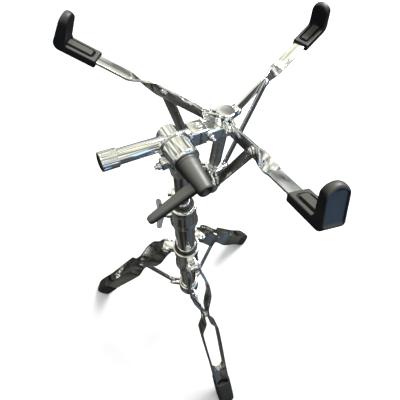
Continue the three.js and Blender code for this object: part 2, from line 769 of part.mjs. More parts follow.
// The screw presses the boom's end in its socket, and the bolt draws the bracket's ring tight.
const bracketScrew = turned(
  [
    [0, 8.9],
    [2.5, 8.9],
    [2.5, 10.2],
    [5.2, 10.2],
    [4.2, 12.3],
    [0, 12.3],
  ],
  SMALL_ROUND
);
add(basket, 'bracket_screw', bracketScrew.translate(...BRACKET_SCREW), chrome());
const bracketBolt = turned(
  [
    [0, -14.5],
    [4, -14.5],
    [4, -9.8],
    [2.5, -9.8],
    [2.5, 9.8],
    [4.2, 9.8],
    [4.2, 13],
    [2.5, 13],
    [2.5, 18],
    [0, 18],
  ],
  SMALL_ROUND
);
add(basket, 'bracket_bolt', alongX(bracketBolt).translate(...BRACKET_BOLT), chrome());

// ---------------------------------------------------------------- hub, basket tube, slider and nut
const hubFrame = frameAt(basket, [0, 0, HUB_TOP]);
const armAngles = [0, 1, 2].map((k) => ARM_AZIMUTH - 120 * k);

function hub() {
  const core = turned([
    [0, -HUB_DEPTH],
    [HUB_RADIUS, -HUB_DEPTH],
    [HUB_RADIUS, -3.3],
    [0, -3.3],
  ]);
  const cheeks = armAngles.flatMap((angle) =>
    [-1, 1].map((side) =>
      plate(
        linkShape([8, -ARM_HINGE_DROP], [ARM_HINGE_RADIUS, -ARM_HINGE_DROP], LUG_END_RADIUS),
        HUB_CHEEK,
        side * (STRAP_THICKNESS / 2 + CLEVIS_GAP + HUB_CHEEK / 2)
      ).rotateZ(rad(angle))
    )
  );
  const slotHalf = STRAP_THICKNESS / 2 + CLEVIS_GAP;
  const slots = armAngles.map((angle) =>
    box([12.4, -slotHalf, -FAR], [FAR, slotHalf, FAR]).rotateZ(rad(angle))
  );
  const holes = armAngles.map((angle) =>
    pinHole(ARM_PIN_RADIUS + GAP, ARM_HINGE_RADIUS, -ARM_HINGE_DROP, 12).rotateZ(rad(angle))
  );
  const tubeHole = rod(BASKET_TUBE_RADIUS + GAP, -30, -7 + GAP);
  return cut(join(core, ...cheeks), tubeHole, ...slots, ...holes);
}
add(hubFrame, 'hub', hub(), chrome());
const cap = turned([
  [0, -3],
  [HUB_RADIUS + 0.4, -3],
  [HUB_RADIUS + 0.4, -0.8],
  [HUB_RADIUS - 0.4, 0],
  [0, 0],
]);
add(hubFrame, 'hub_cap', cap, chrome());
add(
  hubFrame,
  'basket_tube',
  tube(BASKET_TUBE_RADIUS, BASKET_TUBE_RADIUS - TUBE_WALL, -BASKET_TUBE_LENGTH, -7),
  darkChrome()
);

function sliderCollar() {
  const bore = BASKET_TUBE_RADIUS + GAP;
  const top = -SLIDER_DROP + 13;
  const body = turned([
    [0, top - 20],
    [10.8, top - 20],
    [10.8, top - 3],
    [11.6, top - 3],
    [11.6, top],
    [0, top],
  ]);
  const lugs = armAngles.flatMap((angle) =>
    [-1, 1].map((side) => {
      const outline = linkShape([10, -SLIDER_DROP], [SLIDER_LUG_RADIUS, -SLIDER_DROP], LUG_END_RADIUS);
      const apart = BASKET_BRACE_THICKNESS / 2 + CLEVIS_GAP + SLIDER_CHEEK / 2;
      return plate(outline, SLIDER_CHEEK, BASKET_BRACE_OFFSET + side * apart).rotateZ(rad(angle));
    })
  );
  return cut(join(body, ...lugs), rod(bore, -SLIDER_DROP - FAR, -SLIDER_DROP + FAR));
}
add(hubFrame, 'slider_collar', sliderCollar(), chrome());

function adjustingNut() {
  const bore = BASKET_TUBE_RADIUS + GAP;
  const top = -SLIDER_DROP - 7 - GAP;
  return turned([
    [bore, top - 29],
    [9.5, top - 29],
    [12.4, top - 25],
    [13.2, top - 18],
    [13.2, top - 6],
    [10.6, top],
    [bore, top],
    [bore, top - 29],
  ]);
}
add(hubFrame, 'adjusting_nut', adjustingNut(), chrome());

// ---------------------------------------------------------------- arms, claws and braces
// In an arm's frame X runs out along the strap from the hinge pin, and Z is up across its width.
const riseRad = rad(ARM_RISE);
const cornerOut = CLAW_CORNER_RADIUS - ARM_HINGE_RADIUS;
const cornerUp = CLAW_CORNER_HEIGHT + ARM_HINGE_DROP;
const cornerX = cornerOut * Math.cos(riseRad) + cornerUp * Math.sin(riseRad);
const cornerZ = -cornerOut * Math.sin(riseRad) + cornerUp * Math.cos(riseRad);
const PAD_LENGTH = 33.5;
const PAD_THICKNESS = 9.6;
const CLAW_HALF_WIDTH = 10.4;
const UPRIGHT_HEIGHT = 29;
const UPRIGHT_FOOT = 12.4;
const UPRIGHT_TOP = 8.4;
const TONGUE_HALF_WIDTH = 7.2;
const tongueZ = cornerZ - PAD_THICKNESS / 2 - 0.4;

function armStations() {
  const flat = { across: vec(0, 1, 0), through: vec(0, 0, -1) };
  const onEdge = { across: vec(0, 0, 1), through: vec(0, 1, 0) };
  const stations = [7.2, 6.2, 4.4, 2].map((reach) => ({
    at: vec(-reach, 0, 0),
    ...onEdge,
    halfWidth: Math.sqrt(ARM_EYE_RADIUS ** 2 - reach ** 2),
    halfThickness: STRAP_THICKNESS / 2,
  }));
  const edge = (x) => ({
    at: vec(x, 0, 0),
    ...onEdge,
    halfWidth: STRAP_WIDTH / 2,
    halfThickness: STRAP_THICKNESS / 2,
  });
  stations.push(edge(0), edge(ARM_TWIST_START));
  const steps = 12;
  for (let i = 1; i <= steps; i++) {
    const share = i / steps;
    const angle = (share * Math.PI) / 2;
    const x = ARM_TWIST_START + (ARM_TWIST_END - ARM_TWIST_START) * share;
    stations.push({
      at: vec(x, 0, tongueZ * share * share * (3 - 2 * share)),
      across: vec(0, Math.sin(angle), Math.cos(angle)),
      through: vec(0, Math.cos(angle), -Math.sin(angle)),
      halfWidth: STRAP_WIDTH / 2,
      halfThickness: STRAP_THICKNESS / 2,
    });
  }
  const half = TONGUE_HALF_WIDTH;
  const thin = STRAP_THICKNESS / 2;
  const upX = cornerX + UPRIGHT_FOOT / 2 - 0.6;
  stations.push({ at: vec(cornerX - 4, 0, tongueZ), ...flat, halfWidth: half, halfThickness: thin });
  for (let i = 1; i <= 5; i++) {
    const angle = (i / 5) * (Math.PI / 2);
    const bend = 4.5;
    stations.push({
      at: vec(upX - bend + bend * Math.sin(angle), 0, tongueZ + bend - bend * Math.cos(angle)),
      across: vec(0, 1, 0),
      through: vec(Math.sin(angle), 0, -Math.cos(angle)),
      halfWidth: half,
      halfThickness: thin,
    });
  }
  const upright = { across: vec(0, 1, 0), through: vec(1, 0, 0), halfThickness: 1.3 };
  stations.push({ at: vec(upX - 0.6, 0, cornerZ + 12), ...upright, halfWidth: half });
  stations.push({ at: vec(upX - 1.2, 0, cornerZ + 18), ...upright, halfWidth: half - 3 });
  return stations;
}

function arm() {
  return cut(
    strip(armStations()),
    pinHole(ARM_PIN_RADIUS + GAP, 0, 0),
    pinHole(ARM_RIVET_RADIUS + GAP, ARM_RIVET, 0)
  );
}

function claw() {
  const side = new THREE.Shape();
  const bottom = cornerZ - PAD_THICKNESS;
  const top = cornerZ + UPRIGHT_HEIGHT;
  const back = cornerX + UPRIGHT_FOOT;
  side.moveTo(cornerX - PAD_LENGTH, bottom + 0.8);
  side.lineTo(cornerX - PAD_LENGTH + 0.8, bottom);
  side.lineTo(back - 7, bottom);
  side.quadraticCurveTo(back - 1, bottom, back - 0.4, bottom + 6);
  side.lineTo(cornerX + UPRIGHT_TOP + 0.2, top - 3);
  side.quadraticCurveTo(cornerX + UPRIGHT_TOP - 0.6, top, cornerX + UPRIGHT_TOP - 3, top);
  side.lineTo(cornerX + 2.4, top);
  side.quadraticCurveTo(cornerX + 0.4, top, cornerX, top - 2.6);
  side.lineTo(cornerX, cornerZ + 2);
  side.quadraticCurveTo(cornerX, cornerZ, cornerX - 2, cornerZ);
  side.lineTo(cornerX - PAD_LENGTH + 0.8, cornerZ);
  side.lineTo(cornerX - PAD_LENGTH, cornerZ - 0.8);
  side.closePath();
  const body = plate(side, CLAW_HALF_WIDTH * 2 + 4, 0, 3);
  const face = new THREE.Shape();
  const archRadius = CLAW_HALF_WIDTH - 1;
  face.moveTo(-CLAW_HALF_WIDTH + 0.8, bottom - 1);
  face.lineTo(-CLAW_HALF_WIDTH, bottom + 1.4);
  face.lineTo(-archRadius, top - archRadius + 1);
  face.absarc(0, top - archRadius + 1, archRadius, Math.PI, 0, true);
  face.lineTo(CLAW_HALF_WIDTH, bottom + 1.4);
  face.lineTo(CLAW_HALF_WIDTH - 0.8, bottom - 1);
  face.closePath();
  const across = plate(face, 120, 0, 8).rotateZ(-Math.PI / 2).translate(cornerX, 0, 0);
  return cut(overlapOf(body, across), strip(armStations(), GAP));
}

// Pivot places in the arm's radial plane, from the cap's top.
const rivetRadius = ARM_HINGE_RADIUS + ARM_RIVET * Math.cos(riseRad);
const rivetHeight = -ARM_HINGE_DROP + ARM_RIVET * Math.sin(riseRad);

function basketBrace() {
  const from = [rivetRadius, rivetHeight];
  const outline = linkShape(from, [SLIDER_LUG_RADIUS, -SLIDER_DROP], BASKET_BRACE_WIDTH / 2);
  const bar = plate(outline, BASKET_BRACE_THICKNESS, BASKET_BRACE_OFFSET);
  return cut(bar, pinHole(ARM_RIVET_RADIUS + GAP, rivetRadius, rivetHeight));
}

armAngles.forEach((angle, k) => {
  const plane = frameAt(hubFrame, [0, 0, 0], [0, 0, angle]);
  const hinge = frameAt(plane, [ARM_HINGE_RADIUS, 0, -ARM_HINGE_DROP], [0, -ARM_RISE, 0]);
  const pinReach = STRAP_THICKNESS / 2 + CLEVIS_GAP + HUB_CHEEK + GAP;
  add(hinge, `arm_hinge_pin_${k + 1}`, domedPin(ARM_PIN_RADIUS, 4, pinReach, 1.8), chrome());
  add(hinge, `arm_${k + 1}`, arm(), chrome());
  add(hinge, `claw_${k + 1}`, claw(), rubber());
  add(plane, `basket_brace_${k + 1}`, basketBrace(), darkChrome());
  const outer = -BASKET_BRACE_OFFSET + BASKET_BRACE_THICKNESS / 2 + GAP;
  const rivetHalf = (outer + STRAP_THICKNESS / 2 + GAP) / 2;
  const rivet = add(plane, `arm_rivet_${k + 1}`, domedPin(ARM_RIVET_RADIUS, 4.4, rivetHalf, 2.2), chrome());
  rivet.position.set(rivetRadius, -(outer - STRAP_THICKNESS / 2 - GAP) / 2, rivetHeight);
});

// ---------------------------------------------------------------- stand the box's middle on the origin
stand.updateMatrixWorld(true);
const whole = new THREE.Box3().setFromObject(stand, true);
stand.position.set(-(whole.min.x + whole.max.x) / 2, -(whole.min.y + whole.max.y) / 2, -whole.min.z);

export default stand;
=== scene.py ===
"""Looks for the snare drum stand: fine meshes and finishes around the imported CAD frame.

Lengths in the shape code are millimetres in each piece's own frame, and metres in the scene.
"""

import json
import math

import bmesh
import bpy
from mathutils import Matrix, Vector


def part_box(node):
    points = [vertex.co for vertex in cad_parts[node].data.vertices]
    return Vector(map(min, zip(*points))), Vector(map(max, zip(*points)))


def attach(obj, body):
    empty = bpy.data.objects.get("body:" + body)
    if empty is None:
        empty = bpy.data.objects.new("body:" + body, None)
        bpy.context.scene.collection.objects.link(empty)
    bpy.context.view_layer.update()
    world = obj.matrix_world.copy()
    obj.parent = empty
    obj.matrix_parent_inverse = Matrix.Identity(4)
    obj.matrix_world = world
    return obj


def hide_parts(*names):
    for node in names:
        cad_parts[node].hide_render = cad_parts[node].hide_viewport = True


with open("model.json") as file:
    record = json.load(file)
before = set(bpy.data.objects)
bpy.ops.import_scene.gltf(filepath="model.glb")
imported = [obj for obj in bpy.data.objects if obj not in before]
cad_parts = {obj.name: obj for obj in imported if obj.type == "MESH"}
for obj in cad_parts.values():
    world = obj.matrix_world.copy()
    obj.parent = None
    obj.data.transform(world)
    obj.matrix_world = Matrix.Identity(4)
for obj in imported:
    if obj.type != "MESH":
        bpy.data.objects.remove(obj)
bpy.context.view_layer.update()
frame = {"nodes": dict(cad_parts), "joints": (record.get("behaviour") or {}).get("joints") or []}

MM = 0.001
QUARTER = math.pi / 2
ALONG_X = Matrix.Rotation(QUARTER, 4, "Y")
ALONG_Y = Matrix.Rotation(-QUARTER, 4, "X")


def shift(x=0.0, y=0.0, z=0.0):
    return Matrix.Translation((x, y, z))


# ------------------------------------------------------------------ frames of the moving pieces
joints = {joint["name"]: joint for joint in frame["joints"]}


def pivot(name):
    return Vector(joints[name]["pos_m"])


def along(name):
    return Vector(joints[name]["axis"]).normalized()


def placed(origin, x, y):
    """A frame in metres from its origin and its X and Y directions."""
    matrix = Matrix((x, y, x.cross(y))).transposed().to_4x4()
    matrix.translation = origin
    return matrix


UP = Vector((0, 0, 1))
tube_low, tube_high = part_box("base_tube")
column = Vector(((tube_low.x + tube_high.x) / 2, (tube_low.y + tube_high.y) / 2, 0))
stand = Matrix.Translation(column)

leg_planes, leg_frames = [], []
for k in (1, 2, 3):
    hinge = pivot(f"leg_{k}_fold")
    out = Vector((hinge.x - column.x, hinge.y - column.y, 0)).normalized()
    leg_planes.append(placed(column, out, UP.cross(out)))
    down = (pivot(f"leg_brace_{k}_swing") - hinge).normalized()
    leg_frames.append(placed(hinge, down, UP.cross(out)))

wing_axis = along("height_wing_turn")
clamp = placed(column, wing_axis, UP.cross(wing_axis))
lock_axis = along("leg_lock_turn")

tilt_axis = along("tilt")
boom_axis = along("boom_slide")
tilter = placed(pivot("tilt"), tilt_axis, UP.cross(tilt_axis))
tilt = placed(pivot("tilt"), tilt_axis, boom_axis)
BOOM_OFFSET = -18.8
boom = tilt @ shift(BOOM_OFFSET * MM)
basket_axis = along("slider_slide")
basket = placed(pivot("basket_roll"), boom_axis.cross(basket_axis), boom_axis)
HUB_TOP = 21.0
hub = basket @ shift(0, 0, HUB_TOP * MM)

arm_planes, arm_frames = [], []
for k in (1, 2, 3):
    across = -along(f"arm_{k}_raise")
    arm_planes.append(placed(hub.translation, across.cross(basket_axis), across))
    hinge = pivot(f"arm_{k}_raise")
    out = pivot(f"basket_brace_{k}_swing") - hinge
    out = (out - across * out.dot(across)).normalized()
    arm_frames.append(placed(hinge, out, across))


# ------------------------------------------------------------------ shapes: (points, faces) in mm
def soften(points, radius, closed=True, steps=4):
    """The corners of a 2-D line rounded off by short curves."""
    count = len(points)
    line = []
    for i, point in enumerate(points):
        middle = Vector(point)
        if not closed and i in (0, count - 1):
            line.append(tuple(middle))
            continue
        before = Vector(points[i - 1]) - middle
        after = Vector(points[(i + 1) % count]) - middle
        if before.length < 1e-6 or after.length < 1e-6 or before.angle(-after) < 0.09:
            line.append(tuple(middle))
            continue
        start = middle + before.normalized() * min(radius, before.length * 0.45)
        end = middle + after.normalized() * min(radius, after.length * 0.45)
        for step in range(steps + 1):
            t = step / steps
            line.append(tuple(start * (1 - t) ** 2 + middle * (2 * t * (1 - t)) + end * t**2))
    return line


def lathe(profile, soft=0.4, sides=64):
    """A solid turned about Z. The profile is (radius, height) pairs, closed where it ends as it began."""
    closed = profile[0] == profile[-1]
    line = soften(profile[:-1] if closed else profile, soft, closed)
    points, rings, faces = [], [], []
    for radius, height in line:
        if radius < 1e-4:
            rings.append([len(points)] * sides)
            points.append((0, 0, height))
        else:
            rings.append([len(points) + i for i in range(sides)])
            for i in range(sides):
                angle = 2 * math.pi * i / sides
                points.append((radius * math.cos(angle), radius * math.sin(angle), height))
    if closed:
        rings.append(rings[0])
    for a, b in zip(rings, rings[1:]):
        for i in range(sides):
            j = (i + 1) % sides
            corners = list(dict.fromkeys((a[i], a[j], b[j], b[i])))
            if len(corners) > 2:
                faces.append(corners)
    return points, faces


def tube_of(outer, inner, low, high, soft=0.5):
    return lathe([(inner, low), (outer, low), (outer, high), (inner, high), (inner, low)], soft)


def loft(rings, capped=True):
    """A closed skin through rings that all have the same count of points."""
    count = len(rings[0])
    points = [point for ring in rings for point in ring]
    faces = []
    for r in range(len(rings) - 1):
        for i in range(count):
            a, b = r * count + i, r * count + (i + 1) % count
            faces.append([a, b, b + count, a + count])
    if capped:
        faces.append(list(range(count)))
        faces.append([len(points) - count + i for i in range(count)])
    return points, faces


def inset(outline, depth):
    """A closed 2-D outline moved inwards."""
    count = len(outline)
    area = sum(
        outline[i - 1][0] * outline[i][1] - outline[i][0] * outline[i - 1][1] for i in range(count)
    )
    side = 1 if area > 0 else -1
    moved = []
    for i in range(count):
        before = (Vector(outline[i]) - Vector(outline[i - 1])).normalized()
        after = (Vector(outline[(i + 1) % count]) - Vector(outline[i])).normalized()
        bisector = before + after
        if bisector.length < 1e-6:
            bisector = before
        bisector.normalize()
        normal = Vector((-bisector.y, bisector.x)) * side
        moved.append(tuple(Vector(outline[i]) + normal * depth))
    return moved


def plate(outline, low, high, edge=0.6, steps=3):
    """An outline in the XZ plane drawn out along Y, with rounded rims."""
    layers = []
    for step in range(steps + 1):
        angle = QUARTER * step / steps
        layers.append((low + edge * (1 - math.sin(angle)), edge * (1 - math.cos(angle))))
    layers = layers[::-1] if layers[0][0] > layers[-1][0] else layers
    layers = layers + [(low + high - y, depth) for y, depth in reversed(layers)]
    return loft([[(x, y, z) for x, z in inset(outline, depth)] for y, depth in layers])


def link(start, end, radius, sides=14):
    """A bar's outline with round ends between two points."""
    angle = math.atan2(end[1] - start[1], end[0] - start[0])
    line = []
    for centre, first in ((start, angle + QUARTER), (end, angle - QUARTER)):
        for i in range(sides + 1):
            turn = first + math.pi * i / sides
            line.append((centre[0] + radius * math.cos(turn), centre[1] + radius * math.sin(turn)))
    return line


def block(low, high, corner=1.0, edge=0.8):
    """A box with rounded corners in plan and rounded rims."""
    (x0, y0, z0), (x1, y1, z1) = low, high
    outline = soften([(x0, z0), (x1, z0), (x1, z1), (x0, z1)], corner)
    return plate(outline, y0, y1, edge)


def section(half_width, half_thickness, corner=0.7):
    """A rounded rectangle as (across, through) pairs."""
    corner = min(corner, half_width * 0.9, half_thickness * 0.9)
    line = []
    for quadrant, (u, v) in enumerate(((1, 1), (-1, 1), (-1, -1), (1, -1))):
        for step in range(4):
            angle = QUARTER * (quadrant + step / 3)
            line.append(
                (
                    u * (half_width - corner) + corner * math.cos(angle),
                    v * (half_thickness - corner) + corner * math.sin(angle),
                )
            )
    return line


def ribbon(stations, corner=0.7):
    """A strip through stations of (middle, across, through, half width, half thickness)."""
    rings = []
    for middle, across, through, half_width, half_thickness in stations:
        rings.append(
            [
                tuple(middle + across * u + through * v)
                for u, v in section(half_width, half_thickness, corner)
            ]
        )
    return loft(rings)


def domed(radius, head, half_length, height):
    """A rivet or pin along Y with a low dome on both ends."""
    profile = [(0, -half_length - height)]
    for step in range(1, 7):
        angle = QUARTER * step / 6
        profile.append((head * math.sin(angle), -half_length - height * math.cos(angle)))
    profile += [(head, -half_length + 0.01), (radius, -half_length + 0.01)]
    profile += [(r, -z) for r, z in reversed(profile)]
    points, faces = lathe(profile, 0, 32)
    return moved((points, faces), ALONG_Y)


def moved(shape, matrix):
    points, faces = shape
    return [tuple(matrix @ Vector(p)) for p in points], faces


def ramp(knots, x):
    """A value that eases from knot to knot."""
    if x <= knots[0][0]:
        return knots[0][1]
    for (x0, y0), (x1, y1) in zip(knots, knots[1:]):
        if x <= x1:
            t = (x - x0) / (x1 - x0)
            return y0 + (y1 - y0) * t * t * (3 - 2 * t)
    return knots[-1][1]


def build(name, shapes, place, body, slot, material, *stands_for, sharp=32, cut=()):
    """One piece from several solids, in place, riding on its body."""

    def mesh_from(label, solids):
        mesh = bpy.data.meshes.new(label)
        work = bmesh.new()
        for points, faces in solids:
            corners = [work.verts.new(Vector(p) * MM) for p in points]
            for face in faces:
                work.faces.new([corners[i] for i in face])
        bmesh.ops.recalc_face_normals(work, faces=work.faces)
        work.to_mesh(mesh)
        work.free()
        return mesh

    piece = bpy.data.objects.new(name, mesh_from(name, shapes))
    bpy.context.scene.collection.objects.link(piece)
    if cut:
        tool = bpy.data.objects.new(name + "_tool", mesh_from(name + "_tool", cut))
        bpy.context.scene.collection.objects.link(tool)
        change = piece.modifiers.new("bore", "BOOLEAN")
        change.operation = "DIFFERENCE"
        change.solver = "EXACT"
        change.use_self = True
        change.object = tool
        shown = piece.evaluated_get(bpy.context.evaluated_depsgraph_get())
        bored = bpy.data.meshes.new_from_object(shown)
        piece.modifiers.clear()
        piece.data = bored
        bpy.data.objects.remove(tool)
    piece.data.materials.clear()
    piece.data.materials.append(material)
    piece.data.shade_smooth()
    piece.data.set_sharp_from_angle(angle=math.radians(sharp))
    piece.data.transform(place)
    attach(piece, body)
    if stands_for:
        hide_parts(*stands_for)
    return piece


# ------------------------------------------------------------------ finishes
class Finish:
    """A principled material whose colour, roughness and relief vary over the object."""

    def __init__(self, name, metallic, specular=0.5, coat=0.0):
        self.material = bpy.data.materials.new(name)
        self.material.use_nodes = True
        self.tree = self.material.node_tree
        self.shader = self.tree.nodes["Principled BSDF"]
        self.shader.inputs["Metallic"].default_value = metallic
        self.shader.inputs["Specular IOR Level"].default_value = specular
        self.shader.inputs["Coat Weight"].default_value = coat
        self.where = self.tree.nodes.new("ShaderNodeTexCoord").outputs["Object"]

    def noise(self, scale, detail=4.0, stretch=None):
        node = self.tree.nodes.new("ShaderNodeTexNoise")
        node.inputs["Scale"].default_value = scale
        node.inputs["Detail"].default_value = detail
        source = self.where
        if stretch:
            mapping = self.tree.nodes.new("ShaderNodeMapping")
            mapping.inputs["Scale"].default_value = stretch
            self.tree.links.new(source, mapping.inputs["Vector"])
            source = mapping.outputs["Vector"]
        self.tree.links.new(source, node.inputs["Vector"])
        return node.outputs["Fac"]

    def spread(self, factor, low, high, start=0.3, end=0.7):
        node = self.tree.nodes.new("ShaderNodeMapRange")
        node.inputs["From Min"].default_value = start
        node.inputs["From Max"].default_value = end
        node.inputs["To Min"].default_value = low
        node.inputs["To Max"].default_value = high
        self.tree.links.new(factor, node.inputs["Value"])
        return node.outputs["Result"]

    def colours(self, factor, stops):
        node = self.tree.nodes.new("ShaderNodeValToRGB")
        elements = node.color_ramp.elements
        while len(elements) < len(stops):
            elements.new(0.5)
        for element, (place, colour) in zip(elements, stops):
            element.position = place
            element.color = (*colour, 1)
        self.tree.links.new(factor, node.inputs["Fac"])
        self.tree.links.new(node.outputs["Color"], self.shader.inputs["Base Color"])

    def dust_and_painted_top_light(self, colour, start, end):
        """A paler colour on the faces that look up: partly dust settled there, partly painted light standing
        for the light that falls on top faces from above.
        """
        normal = self.tree.nodes.new("ShaderNodeTexCoord").outputs["Normal"]
        parts = self.tree.nodes.new("ShaderNodeSeparateXYZ")
        self.tree.links.new(normal, parts.inputs["Vector"])
        base = self.shader.inputs["Base Color"]
        mix = self.tree.nodes.new("ShaderNodeMix")
        mix.data_type = "RGBA"
        mix.inputs["B"].default_value = (*colour, 1)
        self.tree.links.new(base.links[0].from_socket, mix.inputs["A"])
        self.tree.links.new(self.spread(parts.outputs["Z"], 0, 1, start, end), mix.inputs["Factor"])
        self.tree.links.new(mix.outputs["Result"], base)

    def roughness(self, factor):
        self.tree.links.new(factor, self.shader.inputs["Roughness"])

    def relief(self, factor, strength, distance):
        node = self.tree.nodes.new("ShaderNodeBump")
        node.inputs["Strength"].default_value = strength
        node.inputs["Distance"].default_value = distance
        last = self.shader.inputs["Normal"]
        if last.is_linked:
            self.tree.links.new(last.links[0].from_socket, node.inputs["Normal"])
        self.tree.links.new(factor, node.inputs["Height"])
        self.tree.links.new(node.outputs["Normal"], last)


def plated(name, light, dark, smooth, dull):
    finish = Finish(name, 1.0)
    finish.colours(finish.noise(26), [(0.3, dark), (0.62, light)])
    finish.roughness(finish.spread(finish.noise(70, 6, (1, 1, 2.5)), smooth, dull))
    finish.relief(finish.noise(55, 2), 0.1, 0.0006)
    finish.relief(finish.noise(1400, 3, (1, 1, 0.15)), 0.05, 0.00002)
    return finish.material


chrome = plated("polished_chrome", (0.9, 0.91, 0.93), (0.83, 0.85, 0.87), 0.035, 0.11)
dark_chrome = plated("drawn_strip_chrome", (0.66, 0.66, 0.65), (0.5, 0.5, 0.49), 0.09, 0.24)
fastener = plated("fastener_chrome_plate", (0.82, 0.83, 0.85), (0.7, 0.72, 0.74), 0.08, 0.2)
steel = plated("plain_steel", (0.5, 0.5, 0.5), (0.36, 0.36, 0.37), 0.25, 0.4)


# painted reflection: the wing screws' chrome is a darker, blue-tinted copy of the fastener chrome, standing
# for the dark and blue surroundings it reflects
wing_chrome_painted_dark = plated("fastener_chrome_painted_dark_reflection", (0.3, 0.34, 0.4), (0.16, 0.18, 0.22), 0.08, 0.2)


def moulded(name, low, high, dust_and_top_light, smooth, dull, grain, depth, specular):
    finish = Finish(name, 0.0, specular)
    finish.colours(finish.noise(48, 5), [(0.32, low), (0.68, high)])
    # upward faces made paler: partly dust, partly painted top light
    finish.dust_and_painted_top_light(dust_and_top_light, 0.35, 0.95)
    finish.roughness(finish.spread(finish.noise(160, 4), smooth, dull))
    finish.relief(finish.noise(grain, 5), 0.35, depth)
    finish.relief(finish.noise(90, 2), 0.1, 0.0004)
    return finish.material


# the fourth colour of each is the paler colour of faces that look up: partly dust, partly painted top light
claw_rubber = moulded(
    "claw_rubber", (0.004, 0.005, 0.007), (0.011, 0.012, 0.014), (0.075, 0.072, 0.064),
    0.32, 0.46, 2600, 0.00006, 0.3,
)
boot_rubber = moulded(
    "boot_rubber", (0.006, 0.006, 0.006), (0.016, 0.016, 0.014), (0.04, 0.04, 0.035),
    0.42, 0.58, 2000, 0.00008, 0.5,
)
handle_plastic = moulded(
    "handle_plastic", (0.008, 0.009, 0.009), (0.018, 0.019, 0.018), (0.11, 0.112, 0.1),
    0.34, 0.46, 2400, 0.00005, 0.55,
)
black_plastic = moulded(
    "black_plastic", (0.008, 0.008, 0.009), (0.02, 0.02, 0.021), (0.02, 0.02, 0.02),
    0.25, 0.4, 2400, 0.00004, 0.5,
)

# ------------------------------------------------------------------ base tube and its collars
GAP = 0.3
CLEVIS_GAP = 0.4
BASE_RADIUS = 15.9
BASE_WALL = 1.8
BASE_LOW, BASE_TOP = 120, 490
SCREW_BORE = 3.3
LEG_TOP = 361
HINGE_RADIUS = 34
HINGE_HEIGHT = 345
BRACE_LUG = (33, 156)
CLAMP_LOW, CLAMP_TOP = 453, 499

build(
    "base_tube_chrome",
    [tube_of(BASE_RADIUS, BASE_RADIUS - BASE_WALL, BASE_LOW, BASE_TOP)],
    stand, "base", "chrome", chrome, "base_tube",
)
build(
    "base_tube_end_plug",
    [
        lathe(
            [
                (0, 116), (14, 116), (BASE_RADIUS, 117.5), (BASE_RADIUS, 119.7), (13.7, 119.7),
                (13.7, 132), (0, 132),
            ],
            0.6,
        )
    ],
    stand, "base", "black_plastic", black_plastic, "base_tube_plug",
)


def local(matrix):
    """The same rotation with its shift in millimetres."""
    result = matrix.copy()
    result.translation = matrix.translation / MM
    return result


# the leg planes' rotations about the column, in the stand's frame
LEG_TURNS = [local(stand.inverted() @ plane) for plane in leg_planes]
LEG_BRACE_THICKNESS = 5
BRACE_CHEEK = 3.5

bore = BASE_RADIUS + GAP
brace_collar = [
    lathe(
        [(bore, 132), (18, 132), (20.5, 138), (20.5, 166), (19, 170), (bore, 170), (bore, 132)],
        1.6,
    )
]
for turned in LEG_TURNS:
    for side in (-1, 1):
        middle = side * (LEG_BRACE_THICKNESS / 2 + CLEVIS_GAP + BRACE_CHEEK / 2)
        cheek = plate(
            link((18.5, BRACE_LUG[1]), BRACE_LUG, 7), middle - BRACE_CHEEK / 2, middle + BRACE_CHEEK / 2, 0.8
        )
        brace_collar.append(moved(cheek, turned))
    reach = LEG_BRACE_THICKNESS / 2 + CLEVIS_GAP + BRACE_CHEEK
    rivet = domed(2.2, 4.2, reach, 1.9)
    brace_collar.append(moved(rivet, turned @ shift(BRACE_LUG[0], 0, BRACE_LUG[1])))
build("brace_collar_clevis", brace_collar, stand, "base", "chrome", chrome, "brace_collar")

LOCK_HEIGHT = 312
lock_turn = local(stand.inverted() @ placed(column, lock_axis, UP.cross(lock_axis)))
lock_line = lock_turn @ shift(0, 0, LOCK_HEIGHT) @ ALONG_X
leg_collar = [
    lathe(
        [
            (bore, LEG_TOP - 76), (20.5, LEG_TOP - 76), (21.5, LEG_TOP - 73), (21, LEG_TOP - 67),
            (18.6, LEG_TOP - 62), (18.6, LEG_TOP - 34), (20.6, LEG_TOP - 28), (20.6, LEG_TOP - 10),
            (22.4, LEG_TOP - 8), (22.4, LEG_TOP - 1), (21.6, LEG_TOP), (19.6, LEG_TOP),
            (19.6, LEG_TOP - 18), (bore, LEG_TOP - 18), (bore, LEG_TOP - 76),
        ],
        1.2,
    ),
    moved(lathe([(0, 15), (7.5, 15), (7.5, 26), (0, 26)], 0.8, 40), lock_line),
]
for turned in LEG_TURNS:
    lug = plate(link((18.5, HINGE_HEIGHT), (HINGE_RADIUS, HINGE_HEIGHT), 8), -7, 7, 1.2)
    leg_collar.append(moved(lug, turned))
build(
    "leg_collar_casting",
    leg_collar, stand, "leg_collar", "chrome", chrome, "leg_collar",
    cut=[moved(lathe([(0, 20), (SCREW_BORE, 20), (SCREW_BORE, 40), (0, 40)], 0, 24), lock_line)],
)
build(
    "leg_collar_bushing",
    [tube_of(19.3, bore, LEG_TOP - 17.7, LEG_TOP - 1.5, 0.9)],
    stand, "leg_collar", "black_plastic", black_plastic, "leg_collar_insert",
)


def wing_screw(thread_length, reach):
    """A screw along X with two wings."""
    core = lathe(
        [
            (0, -thread_length), (2.6, -thread_length), (3, -thread_length + 0.6), (3, 0), (6, 0),
            (6.4, 2), (5, 11), (3.5, 13), (0, 13),
        ],
        0.9, 40,
    )
    shapes = [moved(core, ALONG_X)]
    for side in (-1, 1):
        outline = [
            (1.2, 0), (6, side * (reach - 5)), (6.4, side * (reach - 1.6)), (8.4, side * reach),
            (11.8, side * reach), (14, side * (reach - 2.8)), (13.6, side * (reach - 6)),
            (11.6, side * 3.4), (10, 0),
        ]
        shapes.append(plate(soften(outline, 2.2, True, 5), -2.1, 2.1, 1.3, 4))
    return shapes


